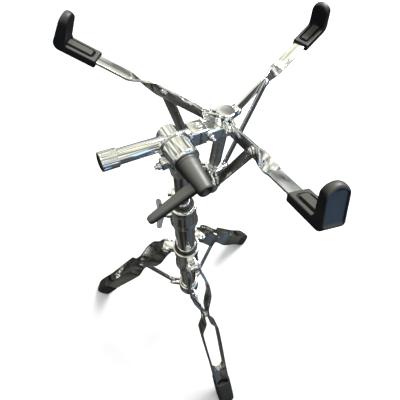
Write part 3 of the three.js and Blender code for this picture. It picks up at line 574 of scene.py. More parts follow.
LOCK_REACH = 26.3
LOCK_WING_TURN, HEIGHT_WING_TURN = 25, 75
lock_hinge = Vector((column.x, column.y, pivot("leg_lock_turn").z))
build(
    "leg_lock_wing_screw",
    wing_screw(9.6, 20),
    placed(lock_hinge, lock_axis, UP.cross(lock_axis))
    @ shift(LOCK_REACH * MM)
    @ Matrix.Rotation(math.radians(LOCK_WING_TURN), 4, "X"),
    "leg_lock", "fastener_chrome", wing_chrome_painted_dark, "leg_lock_screw",
)

# ------------------------------------------------------------------ legs
LEG_LENGTH = 388
LEG_END = 374
WEB_START = 274
PINCH = 118
# half the gap between the leg's two strips, at distances from its hinge
SPREAD = [
    (0, 8.8), (10, 8.9), (45, 16.5), (62, 16.2), (107, 4.4), (129, 4.4), (157, 15.5), (172, 15.5),
    (294, 13.2), (374, 13.2),
]
EYE = 9.5
STRIP_HALF = 12.5
STRIP_THICKNESS = 3.0


def leg_strip(side):
    """One side of the leg: a strip from a round eye, through the pinch, to the boot."""
    stops = [-9.4, -9.1, -8.3, -7, -5, -2.6] + [0, 5, 10, 15, 20] + list(range(24, 180, 4))
    stops += list(range(180, LEG_END, 22)) + [LEG_END]
    stations = []
    for x in stops:
        y = side * ramp(SPREAD, x)
        run = Vector((2.0, side * (ramp(SPREAD, x + 1) - ramp(SPREAD, x - 1)), 0)).normalized()
        half = math.sqrt(EYE**2 - x**2) if x < 0 else min(STRIP_HALF, EYE + x * 0.06)
        through = Vector((-run.y, run.x, 0))
        stations.append((Vector((x, y, 0)), Vector((0, 0, 1)), through, half, STRIP_THICKNESS / 2))
    return ribbon(stations, 0.8)


def leg_web():
    """The plate between the strips: a round throat, then a V-shaped valley that fades towards the boot."""
    half = 13.1
    throat = 11.7
    columns = 41
    rows = 20
    rings = []
    for j in range(columns):
        y = half * (2 * j / (columns - 1) - 1)
        off = abs(y) / half
        start = WEB_START + math.sqrt(max(0, throat**2 - min(abs(y), throat) ** 2))
        top, low = [], []
        for i in range(rows):
            t = i / (rows - 1)
            x = start + (LEG_END - start) * t
            along_web = max(0.0, min(1.0, (x - WEB_START - throat) / 42))
            depth = 7.6 - 4.6 * along_web
            slope = (1 - off) - 0.1 * max(0.0, 1 - off / 0.16) ** 2
            lip = 1.4 * max(0.0, 1 - t * 16)
            top.append((x, y, 10.6 - depth * slope - lip))
            low.append((x, y, -9 + 2.5 * (1 - off) + lip))
        rings.append(top + low[::-1])
    return loft(rings)


LEG_BRACE_RADIUS = 5.6


def grooved_bar(start, end, radius, half, depth, groove):
    """A flat bar with a shallow channel pressed into both faces."""
    length = math.hypot(end[0] - start[0], end[1] - start[1])
    slope = math.atan2(end[1] - start[1], end[0] - start[0])
    stops = [-radius * s for s in (0.999, 0.97, 0.9, 0.75, 0.5, 0.25)] + [0, 4, 8, 10, 12, 14]
    stops = stops + [length - x for x in reversed(stops)]
    rings = []
    for x in stops:
        beyond = max(0.0, -x, x - length)
        width = math.sqrt(max(radius**2 - beyond**2, 0.01))
        near = min(x, length - x)
        sink = depth * max(0.0, min(1.0, (near - 8) / 5))
        edge = min(0.9, width * 0.5)
        inner = min(groove, width * 0.45)
        outer = min(groove + 0.9, width * 0.6)
        half_line = [
            (width, half - edge), (width - edge * 0.3, half - edge * 0.3), (width - edge, half),
            (outer, half), (inner, half - sink), (0, half - sink), (-inner, half - sink),
            (-outer, half), (-width + edge, half), (-width + edge * 0.3, half - edge * 0.3),
            (-width, half - edge),
        ]
        ring = half_line + [(-z, -y) for z, y in half_line]
        rings.append([(x, y, z) for z, y in ring])
    place = shift(start[0], 0, start[1]) @ Matrix.Rotation(-slope, 4, "Y")
    return moved(loft(rings), place)


def boot(leg_place):
    """A rubber boot whose sole lies flat on the floor."""

    def ring(x, half_y, half_z, power=3.2, sag=0.0):
        line = []
        for i in range(48):
            angle = 2 * math.pi * (i + 0.5) / 48
            c, s = math.cos(angle), math.sin(angle)
            y = half_y * math.copysign(abs(c) ** (2 / power), c)
            z = half_z * math.copysign(abs(s) ** (2 / power), s)
            bow = sag * max(0.0, 1 - (y / half_y) ** 2) if z > 0 else 0.0
            line.append((x + bow, y, z))
        return line

    start, end = LEG_LENGTH - 68, LEG_LENGTH + 12
    rings = [
        ring(start + 12, 15.0, 12.9, 9), ring(start + 1.8, 15.1, 13.0, 9, 6),
        ring(start + 0.5, 15.4, 13.3, 8, 6.5), ring(start, 15.8, 13.7, 7.5, 6.5),
        ring(start + 0.4, 16.2, 14.2, 7, 6.5), ring(start + 1.6, 16.5, 14.6, 6.5, 6),
        ring(start + 5, 16.6, 14.9, 6, 4), ring(start + 11, 16.7, 15.2, 5.5),
        ring(start + 26, 16.9, 16.0, 5), ring(start + 44, 17.1, 16.9, 4.6),
        ring(start + 54, 17.1, 17.2, 4.4), ring(end - 12, 17.0, 17.1, 4.2),
        ring(end - 8, 16.4, 16.4, 3.9), ring(end - 4.6, 15.2, 15.1, 3.5),
        ring(end - 2, 13.4, 13.2, 3.2), ring(end - 0.5, 10.8, 10.5, 2.9), ring(end, 7.5, 7.2, 2.6),
    ]
    points, faces = loft(rings)
    flat = []
    back = leg_place.inverted()
    for point in points:
        world = leg_place @ (Vector(point) * MM)
        world.z = max(world.z, 0.0)
        flat.append(tuple((back @ world) / MM))
    return flat, faces


LEG_SPLAY = math.radians(29.5)
PINCH_AT = (HINGE_RADIUS + PINCH * math.sin(LEG_SPLAY), HINGE_HEIGHT - PINCH * math.cos(LEG_SPLAY))

for k in (1, 2, 3):
    place, plane, body = leg_frames[k - 1], leg_planes[k - 1], f"leg_{k}"
    build(
        f"leg_frame_{k}", [leg_strip(1), leg_strip(-1), leg_web()],
        place, body, "dark_chrome", dark_chrome, f"leg_strap_{k}", sharp=38,
    )
    build(
        f"leg_boot_{k}", [boot(place)],
        place, body, "rubber_foot", boot_rubber, f"foot_{k}", sharp=60,
    )
    build(
        f"leg_pin_{k}", [domed(3, 5.2, 10.6, 2.6)],
        place, body, "fastener_chrome", fastener, f"leg_hinge_pin_{k}",
    )
    build(
        f"leg_brace_rivet_{k}", [moved(domed(2.5, 4.6, 6.2, 2.2), shift(PINCH))],
        place, body, "fastener_chrome", fastener, f"leg_rivet_{k}",
    )
    build(
        f"leg_brace_bar_{k}", [grooved_bar(PINCH_AT, BRACE_LUG, LEG_BRACE_RADIUS, 2.5, 0.7, 2.2)],
        plane, f"leg_brace_{k}", "dark_chrome", dark_chrome, f"leg_brace_{k}", sharp=30,
    )

# ------------------------------------------------------------------ height clamp and upper tube
CLAMP_MIDDLE = (CLAMP_LOW + CLAMP_TOP) / 2
KEY = (16, -24, 488)
WING_REACH = 24.3
UPPER_RADIUS, UPPER_INNER = 9.5, 8
UPPER_LOW, UPPER_TOP = 300, 586
clamp_line = shift(0, 0, CLAMP_MIDDLE) @ ALONG_X
build(
    "height_clamp_casting",
    [
        lathe(
            [
                (bore, CLAMP_LOW), (19.6, CLAMP_LOW), (20.4, CLAMP_LOW + 2), (17.8, CLAMP_LOW + 8),
                (17.8, CLAMP_TOP - 12), (18.2, CLAMP_TOP - 9), (18.2, CLAMP_TOP), (14.2, CLAMP_TOP),
                (14.2, CLAMP_TOP - 8), (bore, CLAMP_TOP - 8), (bore, CLAMP_LOW),
            ],
            0.9,
        ),
        moved(lathe([(0, 16.6), (7.5, 16.6), (7.5, 24), (0, 24)], 0.8, 40), clamp_line),
        block((5, KEY[1] - 6, KEY[2] - 5), (16, -14.5, KEY[2] + 5), 1.2, 1.2),
    ],
    clamp, "base", "chrome", chrome, "height_clamp",
    cut=[moved(lathe([(0, 18), (SCREW_BORE, 18), (SCREW_BORE, 40), (0, 40)], 0, 24), clamp_line)],
)
build(
    "height_clamp_bushing", [tube_of(13.8, 9.8, 460, CLAMP_TOP - 1, 0.9)],
    clamp, "base", "black_plastic", black_plastic, "height_clamp_insert",
)
key_head = soften([(3.3, 3.3), (-3.3, 3.3), (-3.3, -3.3), (3.3, -3.3)], 0.6)
build(
    "clamp_key_bolt_head",
    [
        moved(plate(key_head, 0.3, 5, 0.6), Matrix.Rotation(-QUARTER, 4, "Z")),
        moved(lathe([(0, -10), (2, -10), (2, 0.6), (0, 0.6)], 0.2, 24), ALONG_X),
    ],
    clamp @ shift(KEY[0] * MM, KEY[1] * MM, KEY[2] * MM),
    "base", "fastener_chrome", fastener, "clamp_key_bolt",
)
build(
    "height_wing_screw",
    wing_screw(7.6, 21),
    clamp
    @ shift(WING_REACH * MM, 0, CLAMP_MIDDLE * MM)
    @ Matrix.Rotation(math.radians(HEIGHT_WING_TURN), 4, "X"),
    "wing_bolt", "fastener_chrome", wing_chrome_painted_dark, "height_wing_bolt",
)
build(
    "upper_tube_chrome", [tube_of(UPPER_RADIUS, UPPER_INNER, UPPER_LOW, UPPER_TOP)],
    stand, "upper_tube", "chrome", chrome, "upper_tube",
)

# ------------------------------------------------------------------ tilter
COLLAR_BACK, COLLAR_FRONT = -9, 15.5
COLLAR_BORE = 9.3
BOOM_BORE = 8.8
socket_points, socket_faces = lathe(
    [
        (9.8, -34), (12.2, -34), (12.8, -28), (15.2, -10), (14, -8), (0, -8), (0, -19.7), (9.8, -19.7),
        (9.8, -34),
    ],
    0.8,
)
socket = [(max(x, COLLAR_BACK), y, z) for x, y, z in socket_points], socket_faces
build(
    "tilter_collar_casting",
    [
        moved(
            lathe(
                [
                    (COLLAR_BORE, COLLAR_BACK), (17, COLLAR_BACK), (17, 13.5), (15, COLLAR_FRONT),
                    (COLLAR_BORE, COLLAR_FRONT), (COLLAR_BORE, COLLAR_BACK),
                ],
                0.8,
            ),
            ALONG_X,
        ),
        socket,
        block((-8, -22, -17), (2, -11, -5), 1.4, 1.2),
    ],
    tilter, "tilter", "chrome", chrome, "tilter_collar",
    cut=[moved(lathe([(0, -30), (COLLAR_BORE, -30), (COLLAR_BORE, 30), (0, 30)], 0), ALONG_X)],
)
build(
    "tilter_collar_screw",
    [
        moved(
            lathe(
                [
                    (0, -29), (2.4, -29), (2.4, -26), (4.2, -26), (4.2, -22.3), (2, -22.3), (2, -12),
                    (0, -12),
                ],
                0.5, 32,
            ),
            shift(-3, 0, -12) @ ALONG_Y,
        )
    ],
    tilter, "tilter", "fastener_chrome", fastener, "tilter_collar_bolt",
)
BOOM_RADIUS = 8.5
build(
    "tilter_head_barrel",
    [
        moved(
            lathe(
                [
                    (0, -33), (11, -33), (12.5, -31.5), (12.5, -13), (19.2, -13), (19.2, -9.3),
                    (9, -9.3), (9, 15), (0, 15),
                ],
                0.9,
            ),
            ALONG_X,
        )
    ],
    tilt, "tilter_head", "chrome", chrome, "tilter_head",
    cut=[
        moved(
            lathe([(0, -40), (BOOM_BORE, -40), (BOOM_BORE, 40), (0, 40)], 0),
            shift(BOOM_OFFSET) @ ALONG_Y,
        )
    ],
)

LEVER_ANGLE = math.radians(213)
LEVER_AT = 44
BEVEL = 0.32
TIP = 57


def lever():
    """A tapering blade with bevelled edges and a blunt end."""
    rings = []
    for out, half_width, half_thickness in (
        (0, 6.4, 5), (8, 6.4, 5), (20, 6.0, 4.9), (36, 5.4, 4.6), (52, 4.8, 4.3), (60, 4.5, 4.1),
        (64, 4.1, 3.7), (66, 3.3, 2.9),
    ):
        bevel = BEVEL * half_thickness
        outline = [
            (half_width - bevel, half_thickness), (bevel - half_width, half_thickness),
            (-half_width, half_thickness - bevel), (-half_width, bevel - half_thickness),
            (bevel - half_width, -half_thickness), (half_width - bevel, -half_thickness),
            (half_width, bevel - half_thickness), (half_width, half_thickness - bevel),
        ]
        rings.append([(LEVER_AT + x, out, z) for x, z in outline])
    return moved(loft(rings), Matrix.Rotation(LEVER_ANGLE, 4, "X"))


build(
    "tilt_handle_moulding",
    [
        moved(
            lathe(
                [
                    (0, 15.8), (12.8, 15.8), (12.8, 18.4), (11.9, 19.2), (11.9, 20.4), (12.1, 21.2),
                    (8.7, TIP - 2), (7.7, TIP), (5.2, TIP), (4.4, TIP - 0.6), (4.4, TIP - 4.6),
                    (0, TIP - 4.6),
                ],
                0.7,
            ),
            ALONG_X,
        ),
        lever(),
    ],
    tilt, "tilt_handle", "handle_plastic", handle_plastic, "tilt_handle",
)
build(
    "tilt_handle_end_screw",
    [
        moved(
            lathe(
                [(0, TIP - 9), (3.6, TIP - 9), (3.6, TIP - 3.4), (2.2, TIP - 2.6), (0, TIP - 2.4)],
                0.4, 32,
            ),
            ALONG_X,
        )
    ],
    tilt, "tilt_handle", "fastener_chrome", fastener,
)

# ------------------------------------------------------------------ boom
BOOM_LOW, BOOM_HIGH = -76, 38.1
FLUTES, FLUTE_SIDES = 16, 160
FLUTE_DEPTH = 0.55
SLEEVE_RADIUS = 10.3
build(
    "boom_tube_chrome", [moved(tube_of(BOOM_RADIUS, 7, BOOM_LOW, BOOM_HIGH), ALONG_Y)],
    boom, "boom", "chrome", chrome, "boom_tube",
)


def fluted_sleeve():
    """A short sleeve with shallow flutes round it, open inside."""
    rings = []
    for y, grow, deep in (
        (-80.0, -0.9, 0), (-80.2, -0.4, 0), (-79.7, 0, 0.2), (-78, 0, 1), (-65, 0, 1), (-63.6, 0, 0.3),
        (-62.4, 0, 0), (-62, -0.4, 0), (-62, -1.5, 0),
    ):
        ring = []
        for i in range(FLUTE_SIDES):
            angle = 2 * math.pi * i / FLUTE_SIDES
            wave = max(0.0, math.cos(angle * FLUTES)) ** 1.5
            radius = SLEEVE_RADIUS + grow - FLUTE_DEPTH * deep * wave
            ring.append((radius * math.cos(angle), radius * math.sin(angle), y))
        rings.append(ring)
    points, faces = loft(rings, capped=False)
    last = len(points) - FLUTE_SIDES
    for i in range(FLUTE_SIDES):
        j = (i + 1) % FLUTE_SIDES
        faces.append([i, j, last + j, last + i])
    return moved((points, faces), ALONG_Y)


build(
    "boom_end_fluted_sleeve", [fluted_sleeve()],
    boom, "boom", "chrome", chrome, "boom_end_sleeve", sharp=40,
)
build(
    "boom_end_cap",
    [
        moved(
            lathe(
                [
                    (0, -80.9), (7.6, -80.8), (9.35, -80.4), (9.35, -76.3), (6.6, -76.2), (6.6, -62),
                    (0, -62),
                ],
                0.7,
            ),
            ALONG_Y,
        )
    ],
    boom, "boom", "black_plastic", black_plastic, "boom_end_plug",
)

# ------------------------------------------------------------------ bracket, hub and basket tube
TUBE_RADIUS = 7.8
tube_bore = TUBE_RADIUS + GAP
build(
    "basket_bracket_casting",
    [
        block((-10.4, -46, -10.4), (10.4, -26, 9.9), 1.8, 1.4),
        block((-9.5, -28, -8.8), (9.5, -4, 4.4), 1.4, 1.0),
        lathe([(0, -8.8), (12, -8.8), (12, 4.4), (0, 4.4)], 0.9),
    ],
    basket, "basket", "chrome", chrome, "basket_bracket",
    cut=[
        lathe([(0, -30), (tube_bore, -30), (tube_bore, 30), (0, 30)], 0),
        moved(lathe([(0, -60), (BOOM_BORE, -60), (BOOM_BORE, -28.6), (0, -28.6)], 0), ALONG_Y),
    ],
)
build(
    "bracket_clamp_screw",
    [
        moved(
            lathe(
                [
                    (0, 8.9), (2.5, 8.9), (2.5, 10.1), (5.2, 10.1), (5.0, 11.2), (4.2, 12.2),
                    (2.6, 12.3), (2.2, 11.2), (0, 11.0),
                ],
                0.35, 40,
            ),
            shift(0, -35, 0),
        )
    ],
    basket, "basket", "fastener_chrome", fastener, "bracket_screw",
)
build(
    "bracket_cross_bolt",
    [
        moved(
            lathe(
                [
                    (0, -14.5), (3.4, -14.3), (4, -13.4), (4, -9.8), (2.5, -9.8), (2.5, 9.8),
                    (4.2, 9.8), (4.2, 13), (2.5, 13), (2.5, 17.6), (2.1, 18), (0, 18),
                ],
                0.4, 32,
            ),
            shift(0, -21, -3) @ ALONG_X,
        )
    ],
    basket, "basket", "fastener_chrome", fastener, "bracket_bolt",
)

ARM_TURNS = [local(hub.inverted() @ plane) for plane in arm_planes]
HUB_RADIUS = 10.6
STRAP = 3.0
ARM_HINGE = (21, -10.7)
hub_shapes = [lathe([(0, -16.3), (HUB_RADIUS, -16.3), (HUB_RADIUS, -3.3), (0, -3.3)], 0.8)]
for turned in ARM_TURNS:
    for side in (-1, 1):
        middle = side * (STRAP / 2 + CLEVIS_GAP + 1.7)
        cheek = plate(link((7, ARM_HINGE[1]), ARM_HINGE, 5.5), middle - 1.7, middle + 1.7, 0.7)
        hub_shapes.append(moved(cheek, turned))
build(
    "hub_casting", hub_shapes, hub, "basket", "chrome", chrome, "hub",
    cut=[lathe([(0, -30), (tube_bore, -30), (tube_bore, -6.7), (0, -6.7)], 0)],
)
build(
    "hub_top_cap",
    [lathe([(0, -3), (11, -3), (11, -0.9), (10.2, -0.15), (6, 0), (0, 0)], 0.7)],
    hub, "basket", "chrome", chrome, "hub_cap",
)
build(
    "basket_tube_chrome", [tube_of(TUBE_RADIUS, 6.3, -137.5, -7)],
    hub, "basket", "dark_chrome", dark_chrome, "basket_tube",
)

SLIDER_DROP = 100.7
SLIDER_LUG = (20, -SLIDER_DROP)
BRACE_THICKNESS = 2.6
BRACE_OFFSET = -(STRAP + BRACE_THICKNESS) / 2 - GAP
top = -SLIDER_DROP + 13
slider_shapes = [
    lathe(
        [
            (tube_bore, top - 20), (10.8, top - 20), (10.8, top - 3), (11.6, top - 3), (11.6, top),
            (tube_bore, top), (tube_bore, top - 20),
        ],
        0.7,
    )
]
for turned in ARM_TURNS:
    for side in (-1, 1):
        middle = BRACE_OFFSET + side * (BRACE_THICKNESS / 2 + CLEVIS_GAP + 1.4)
        cheek = plate(link((11.5, SLIDER_LUG[1]), SLIDER_LUG, 5.5), middle - 1.4, middle + 1.4, 0.6)
        slider_shapes.append(moved(cheek, turned))
    reach = BRACE_THICKNESS / 2 + CLEVIS_GAP + 2.8
    head = domed(2, 3.6, reach, 1.5)
    slider_shapes.append(moved(head, turned @ shift(SLIDER_LUG[0], BRACE_OFFSET, SLIDER_LUG[1])))
build("slider_collar_casting", slider_shapes, hub, "slider", "chrome", chrome, "slider_collar")

nut_top = -SLIDER_DROP - 7 - GAP
build(
    "adjusting_nut_chrome",
    [
        lathe(
            [
                (tube_bore, nut_top - 29), (9.5, nut_top - 29), (12.4, nut_top - 25),
                (12.6, nut_top - 19.5), (13.2, nut_top - 18), (13.2, nut_top - 6), (10.6, nut_top),
                (tube_bore, nut_top), (tube_bore, nut_top - 29),
            ],
            1.0,
        )
    ],
    hub, "adjusting_nut", "chrome", chrome, "adjusting_nut",
)

# ------------------------------------------------------------------ arms, claws and basket braces
ARM_RISE = math.radians(18.2)
CORNER_OUT, CORNER_UP = 173.9 - ARM_HINGE[0], 42.6 - ARM_HINGE[1]
CORNER_X = CORNER_OUT * math.cos(ARM_RISE) + CORNER_UP * math.sin(ARM_RISE)
CORNER_Z = -CORNER_OUT * math.sin(ARM_RISE) + CORNER_UP * math.cos(ARM_RISE)
PAD_LENGTH, PAD_THICKNESS = 33.5, 9.6
CLAW_HALF = 10.4
UPRIGHT, UPRIGHT_FOOT, UPRIGHT_TOP = 29, 12.4, 8.4
TWIST_START, TWIST_END = 60, 94
ARM_RIVET = 53
STRAP_HALF = 7.5
TONGUE_Z = CORNER_Z - PAD_THICKNESS / 2 - 0.4


def arm_strap():
    """A strap on edge at the hinge that twists a quarter turn to lie flat under its claw."""
    stations = []
    through, across = Vector((0, 1, 0)), Vector((0, 0, 1))
    for x in (-7.42, -7.1, -6.4, -5.2, -3.6, -1.8):
        half = math.sqrt(STRAP_HALF**2 - x**2)
        stations.append((Vector((x, 0, 0)), across, through, half, STRAP / 2))
    for x in (0, 15, 30, 45, TWIST_START):
        stations.append((Vector((x, 0, 0)), across, through, STRAP_HALF, STRAP / 2))
    steps = 28
    for i in range(1, steps + 1):
        share = i / steps
        angle = share * QUARTER
        x = TWIST_START + (TWIST_END - TWIST_START) * share
        z = TONGUE_Z * share * share * (3 - 2 * share)
        stations.append(
            (
                Vector((x, 0, z)),
                Vector((0, math.sin(angle), math.cos(angle))),
                Vector((0, math.cos(angle), -math.sin(angle))),
                STRAP_HALF, STRAP / 2,
            )
        )
    flat = (Vector((0, 1, 0)), Vector((0, 0, -1)))
    stations.append((Vector((TWIST_END + 20, 0, TONGUE_Z)), *flat, 7.2, STRAP / 2))
    stations.append((Vector((CORNER_X - 4, 0, TONGUE_Z)), *flat, 7.2, STRAP / 2))
    return ribbon(stations, 0.7)


def claw():
    """A rubber claw: a pad with a U-shaped groove, and an arched upright with a panelled back."""
    low, top_line = CORNER_Z - PAD_THICKNESS, CORNER_Z + UPRIGHT
    inner, back = CORNER_X - PAD_LENGTH, CORNER_X + UPRIGHT_FOOT
    arch = CLAW_HALF - 1
    arch_middle = top_line - arch
    columns = 56
    rim = 1.3
    rings = []
    for j in range(columns + 1):
        share = math.sin(QUARTER * (2 * j / columns - 1))
        y = share * CLAW_HALF
        off = abs(y)
        past = max(0.0, off - (CLAW_HALF - rim))
        pull = rim - math.sqrt(max(0.0, rim**2 - past**2))
        arch_y = off * arch / CLAW_HALF
        height = arch_middle + math.sqrt(max(0.0, arch**2 - arch_y**2)) - pull * 0.4
        height = max(height, arch_middle + 0.6)

        def back_at(z):
            lean = (z - low - 6) / (top_line - low - 6)
            plain = back - 0.4 - (UPRIGHT_FOOT - UPRIGHT_TOP) * max(0.0, min(1.0, lean))
            room = min(CLAW_HALF - 1.7 - off, z - low - 3.4, height - 3.6 - z)
            return plain - 1.2 * max(0.0, min(1.0, room / 0.5)) - pull

        def top_at(x):
            depth = x - inner
            corner = math.hypot(max(0.0, off - 2.6), max(0.0, 9.0 - depth))
            ring = corner - 2.9
            groove = max(0.0, 1 - abs(ring) / 1.25)
            raised = 1.0 if ring < 0 else 0.0
            return CORNER_Z - 1.0 - 2.6 * min(1.0, groove * 1.9) + raised * (1 - groove) - pull

        line = []
        for i in range(12):
            line.append((inner + 1.4 + (back - 8 - inner - 1.4) * i / 11, low + pull))
        for i in range(1, 8):
            angle = QUARTER * i / 8
            line.append((back - 7 + 6.4 * math.sin(angle) - pull, low + 6.4 - 6.4 * math.cos(angle) + pull))
        for i in range(26):
            z = low + 6.6 + (height - 2.4 - low - 6.6) * i / 25
            line.append((back_at(z), z))
        crest_back = back_at(height - 2.4)
        crest_front = CORNER_X + pull
        for i in range(1, 10):
            angle = math.pi * i / 10
            middle = (crest_back + crest_front) / 2
            reach = (crest_back - crest_front) / 2
            line.append((middle + reach * math.cos(angle), height - 2.4 + 2.4 * math.sin(angle)))
        for i in range(10):
            z = height - 2.4 - (height - 2.4 - CORNER_Z - 1.5) * i / 9
            line.append((crest_front, z))
        for i in range(45):
            x = CORNER_X - 1.6 - (CORNER_X - 1.6 - inner - 1.2) * i / 44
            line.append((x, top_at(x)))
        line.append((inner + 0.3 + pull, CORNER_Z - 2.2 - pull))
        line.append((inner + pull, CORNER_Z - 3.4))
        line.append((inner + pull, low + 1.6))
        line.append((inner + 0.4 + pull, low + 0.5 + pull))
        rings.append([(x, y, z) for x, z in line])
    return loft(rings)


RIVET_AT = (
    ARM_HINGE[0] + ARM_RIVET * math.cos(ARM_RISE),
    ARM_HINGE[1] + ARM_RIVET * math.sin(ARM_RISE),
)

for k in (1, 2, 3):
    place, plane, body = arm_frames[k - 1], arm_planes[k - 1], f"arm_{k}"
    build(f"arm_strap_{k}", [arm_strap()], place, body, "chrome", chrome, f"arm_{k}", sharp=34)
    build(f"claw_rubber_{k}", [claw()], place, body, "rubber_claw", claw_rubber, f"claw_{k}", sharp=50)
    build(
        f"arm_pin_{k}", [domed(2.5, 4, 5.6, 1.8)],
        place, body, "fastener_chrome", fastener, f"arm_hinge_pin_{k}",
    )
    outer = -BRACE_OFFSET + BRACE_THICKNESS / 2 + GAP
    half = (outer + STRAP / 2 + GAP) / 2
    rivet = moved(domed(2.3, 4.4, half, 2.2), shift(ARM_RIVET, -(outer - STRAP / 2 - GAP) / 2))
    build(
        f"brace_rivet_{k}", [rivet], place, body, "fastener_chrome", fastener, f"arm_rivet_{k}",
    )
    near, far = BRACE_OFFSET - BRACE_THICKNESS / 2, BRACE_OFFSET + BRACE_THICKNESS / 2
    bar = plate(link(RIVET_AT, SLIDER_LUG, 6), near, far, 0.6)
    build(
        f"basket_brace_bar_{k}", [bar], plane, f"basket_brace_{k}",
        "dark_chrome", dark_chrome, f"basket_brace_{k}",
    )

for name in ("clamp_shoe", "tilt_handle_stud"):
    hidden = frame["nodes"][name].data
    hidden.materials.clear()
    hidden.materials.append(steel)

# ------------------------------------------------------------------ floor, light and camera
floor_mesh = bpy.data.meshes.new("floor")
floor_shape = bmesh.new()
bmesh.ops.create_grid(floor_shape, x_segments=1, y_segments=1, size=4)
floor_shape.to_mesh(floor_mesh)
floor_shape.free()
floor = bpy.data.objects.new("floor", floor_mesh)
bpy.context.scene.collection.objects.link(floor)
floor.location = (0, 0, -0.0005)
floor.visible_glossy = False
floor.visible_diffuse = False
floor_finish = Finish("pale_floor", 0.0, 0.1)
floor_finish.colours(floor_finish.noise(3), [(0.3, (0.86, 0.86, 0.86)), (0.7, (0.88, 0.88, 0.88))])
floor_finish.shader.inputs["Roughness"].default_value = 0.9
floor_mesh.materials.append(floor_finish.material)


def soft_light(name, place, target, size, power, colour=(1, 1, 1)):
    data = bpy.data.lights.new(name, "AREA")
    data.shape = "SQUARE"
    data.size = size
    data.energy = power
    data.color = colour
    light = bpy.data.objects.new(name, data)
    bpy.context.scene.collection.objects.link(light)
    light.location = place
    light.rotation_euler = (Vector(target) - Vector(place)).to_track_quat("-Z", "Y").to_euler()
    return light


soft_light("key", (1.3, 1.35, 2.4), (0, 0, 0.3), 1.3, 110)
soft_light("cool_fill", (1.5, -1.0, 0.35), (0.14, -0.08, 0.66), 0.9, 5, (0.2, 0.5, 1.0))

world = bpy.data.worlds.new("studio")
bpy.context.scene.world = world
world.use_nodes = True
tree = world.node_tree
tree.nodes.clear()


def world_node(kind, **values):
    node = tree.nodes.new(kind)
    for key, value in values.items():
        node.inputs[key].default_value = value
    return node


def world_ramp(source, stops):
    node = tree.nodes.new("ShaderNodeValToRGB")
    elements = node.color_ramp.elements
    while len(elements) < len(stops):
        elements.new(0.5)
    for element, (place, colour) in zip(elements, stops):
        element.position = place
        element.color = (*colour, 1)
    tree.links.new(source, node.inputs["Fac"])
    return node.outputs["Color"]


direction = tree.nodes.new("ShaderNodeTexCoord").outputs["Generated"]
split = tree.nodes.new("ShaderNodeSeparateXYZ")
tree.links.new(direction, split.inputs["Vector"])
height = world_node("ShaderNodeMapRange", **{"From Min": -1.0, "From Max": 1.0})
tree.links.new(split.outputs["Z"], height.inputs["Value"])
studio = world_ramp(
    height.outputs["Result"],
    [
        (0.0, (0.07, 0.07, 0.062)), (0.3, (0.1, 0.1, 0.09)), (0.44, (0.1, 0.1, 0.092)),
        (0.5, (0.3, 0.31, 0.3)), (0.56, (0.6, 0.61, 0.57)), (0.66, (0.84, 0.84, 0.75)),
        (0.8, (0.96, 0.94, 0.8)), (1.0, (0.98, 0.95, 0.78)),
    ],
)
patches = tree.nodes.new("ShaderNodeTexNoise")
patches.inputs["Scale"].default_value = 3.2
patches.inputs["Detail"].default_value = 1.5
tree.links.new(direction, patches.inputs["Vector"])
blotches = world_ramp(
    patches.outputs["Fac"],
    [
        (0.4, (0.02, 0.02, 0.03)), (0.48, (0.6, 0.6, 0.6)), (0.58, (1.25, 1.27, 1.25)),
        (0.72, (2.4, 2.5, 2.4)),
    ],
)
mixed = tree.nodes.new("ShaderNodeMix")
mixed.data_type = "RGBA"
mixed.blend_type = "MULTIPLY"
mixed.inputs["Factor"].default_value = 0.75
tree.links.new(studio, mixed.inputs["A"])
tree.links.new(blotches, mixed.inputs["B"])

# a dim blue-grey wall low on the near right side
facing = tree.nodes.new("ShaderNodeVectorMath")
facing.operation = "DOT_PRODUCT"
facing.inputs[1].default_value = Vector((0.75, -0.35, -0.55)).normalized()
tree.links.new(direction, facing.inputs[0])
wall = world_node("ShaderNodeMapRange", **{"From Min": 0.78, "From Max": 0.98})
tree.links.new(facing.outputs["Value"], wall.inputs["Value"])
with_wall = tree.nodes.new("ShaderNodeMix")
with_wall.data_type = "RGBA"
with_wall.inputs["B"].default_value = (0.1, 0.125, 0.15, 1)
tree.links.new(wall.outputs["Result"], with_wall.inputs["Factor"])
tree.links.new(mixed.outputs["Result"], with_wall.inputs["A"])

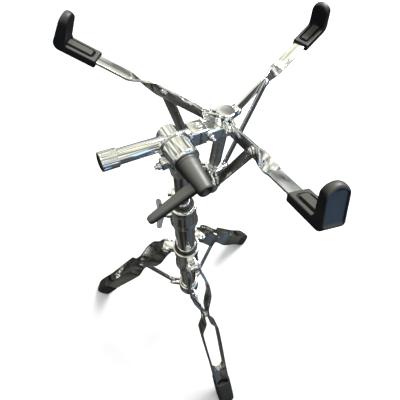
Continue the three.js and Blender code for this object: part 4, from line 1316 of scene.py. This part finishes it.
# what lights matt surfaces: bright from above, dark from below
daylight = world_ramp(
    height.outputs["Result"],
    [
        (0.0, (0.03, 0.03, 0.03)), (0.47, (0.06, 0.06, 0.06)), (0.56, (0.6, 0.6, 0.6)),
        (1.0, (0.95, 0.95, 0.93)),
    ],
)


def background(colour, strength):
    node = world_node("ShaderNodeBackground", Strength=strength)
    tree.links.new(colour, node.inputs["Color"])
    return node.outputs["Background"]


def choose(test, otherwise, then):
    node = tree.nodes.new("ShaderNodeMixShader")
    tree.links.new(test, node.inputs["Fac"])
    tree.links.new(otherwise, node.inputs[1])
    tree.links.new(then, node.inputs[2])
    return node.outputs["Shader"]


seen = tree.nodes.new("ShaderNodeLightPath")
pale = world_node("ShaderNodeBackground", Color=(1, 1, 1, 1), Strength=1.0).outputs["Background"]
lit = background(daylight, 1.0)
mirrored = background(with_wall.outputs["Result"], 1.0)
sky = choose(seen.outputs["Is Camera Ray"], choose(seen.outputs["Is Glossy Ray"], lit, mirrored), pale)
finished = tree.nodes.new("ShaderNodeOutputWorld")
tree.links.new(sky, finished.inputs["Surface"])

# the camera's angles and its place beside the column, in metres
YAW, PITCH, ROLL = math.radians(-3.0), math.radians(59.1), math.radians(-0.6)
CAMERA_AT = Vector((0.02771, -0.22673, 0.88852))
ahead = math.cos(PITCH)
forward = Vector((math.sin(YAW) * ahead, math.cos(YAW) * ahead, -math.sin(PITCH)))
level = Vector((math.cos(YAW), -math.sin(YAW), 0))
lift = level.cross(forward)
right = level * math.cos(ROLL) + lift * math.sin(ROLL)
upward = lift * math.cos(ROLL) - level * math.sin(ROLL)
camera_data = bpy.data.cameras.new("camera")
camera_data.sensor_width = 36
camera_data.lens = 30.6
camera_data.shift_x = 0.0125
camera = bpy.data.objects.new("camera", camera_data)
bpy.context.scene.collection.objects.link(camera)
view = Matrix((right, upward, -forward)).transposed().to_4x4()
view.translation = column + CAMERA_AT
camera.matrix_world = view
bpy.context.scene.camera = camera
bpy.context.scene.view_settings.view_transform = "Standard"

bpy.context.view_layer.update()
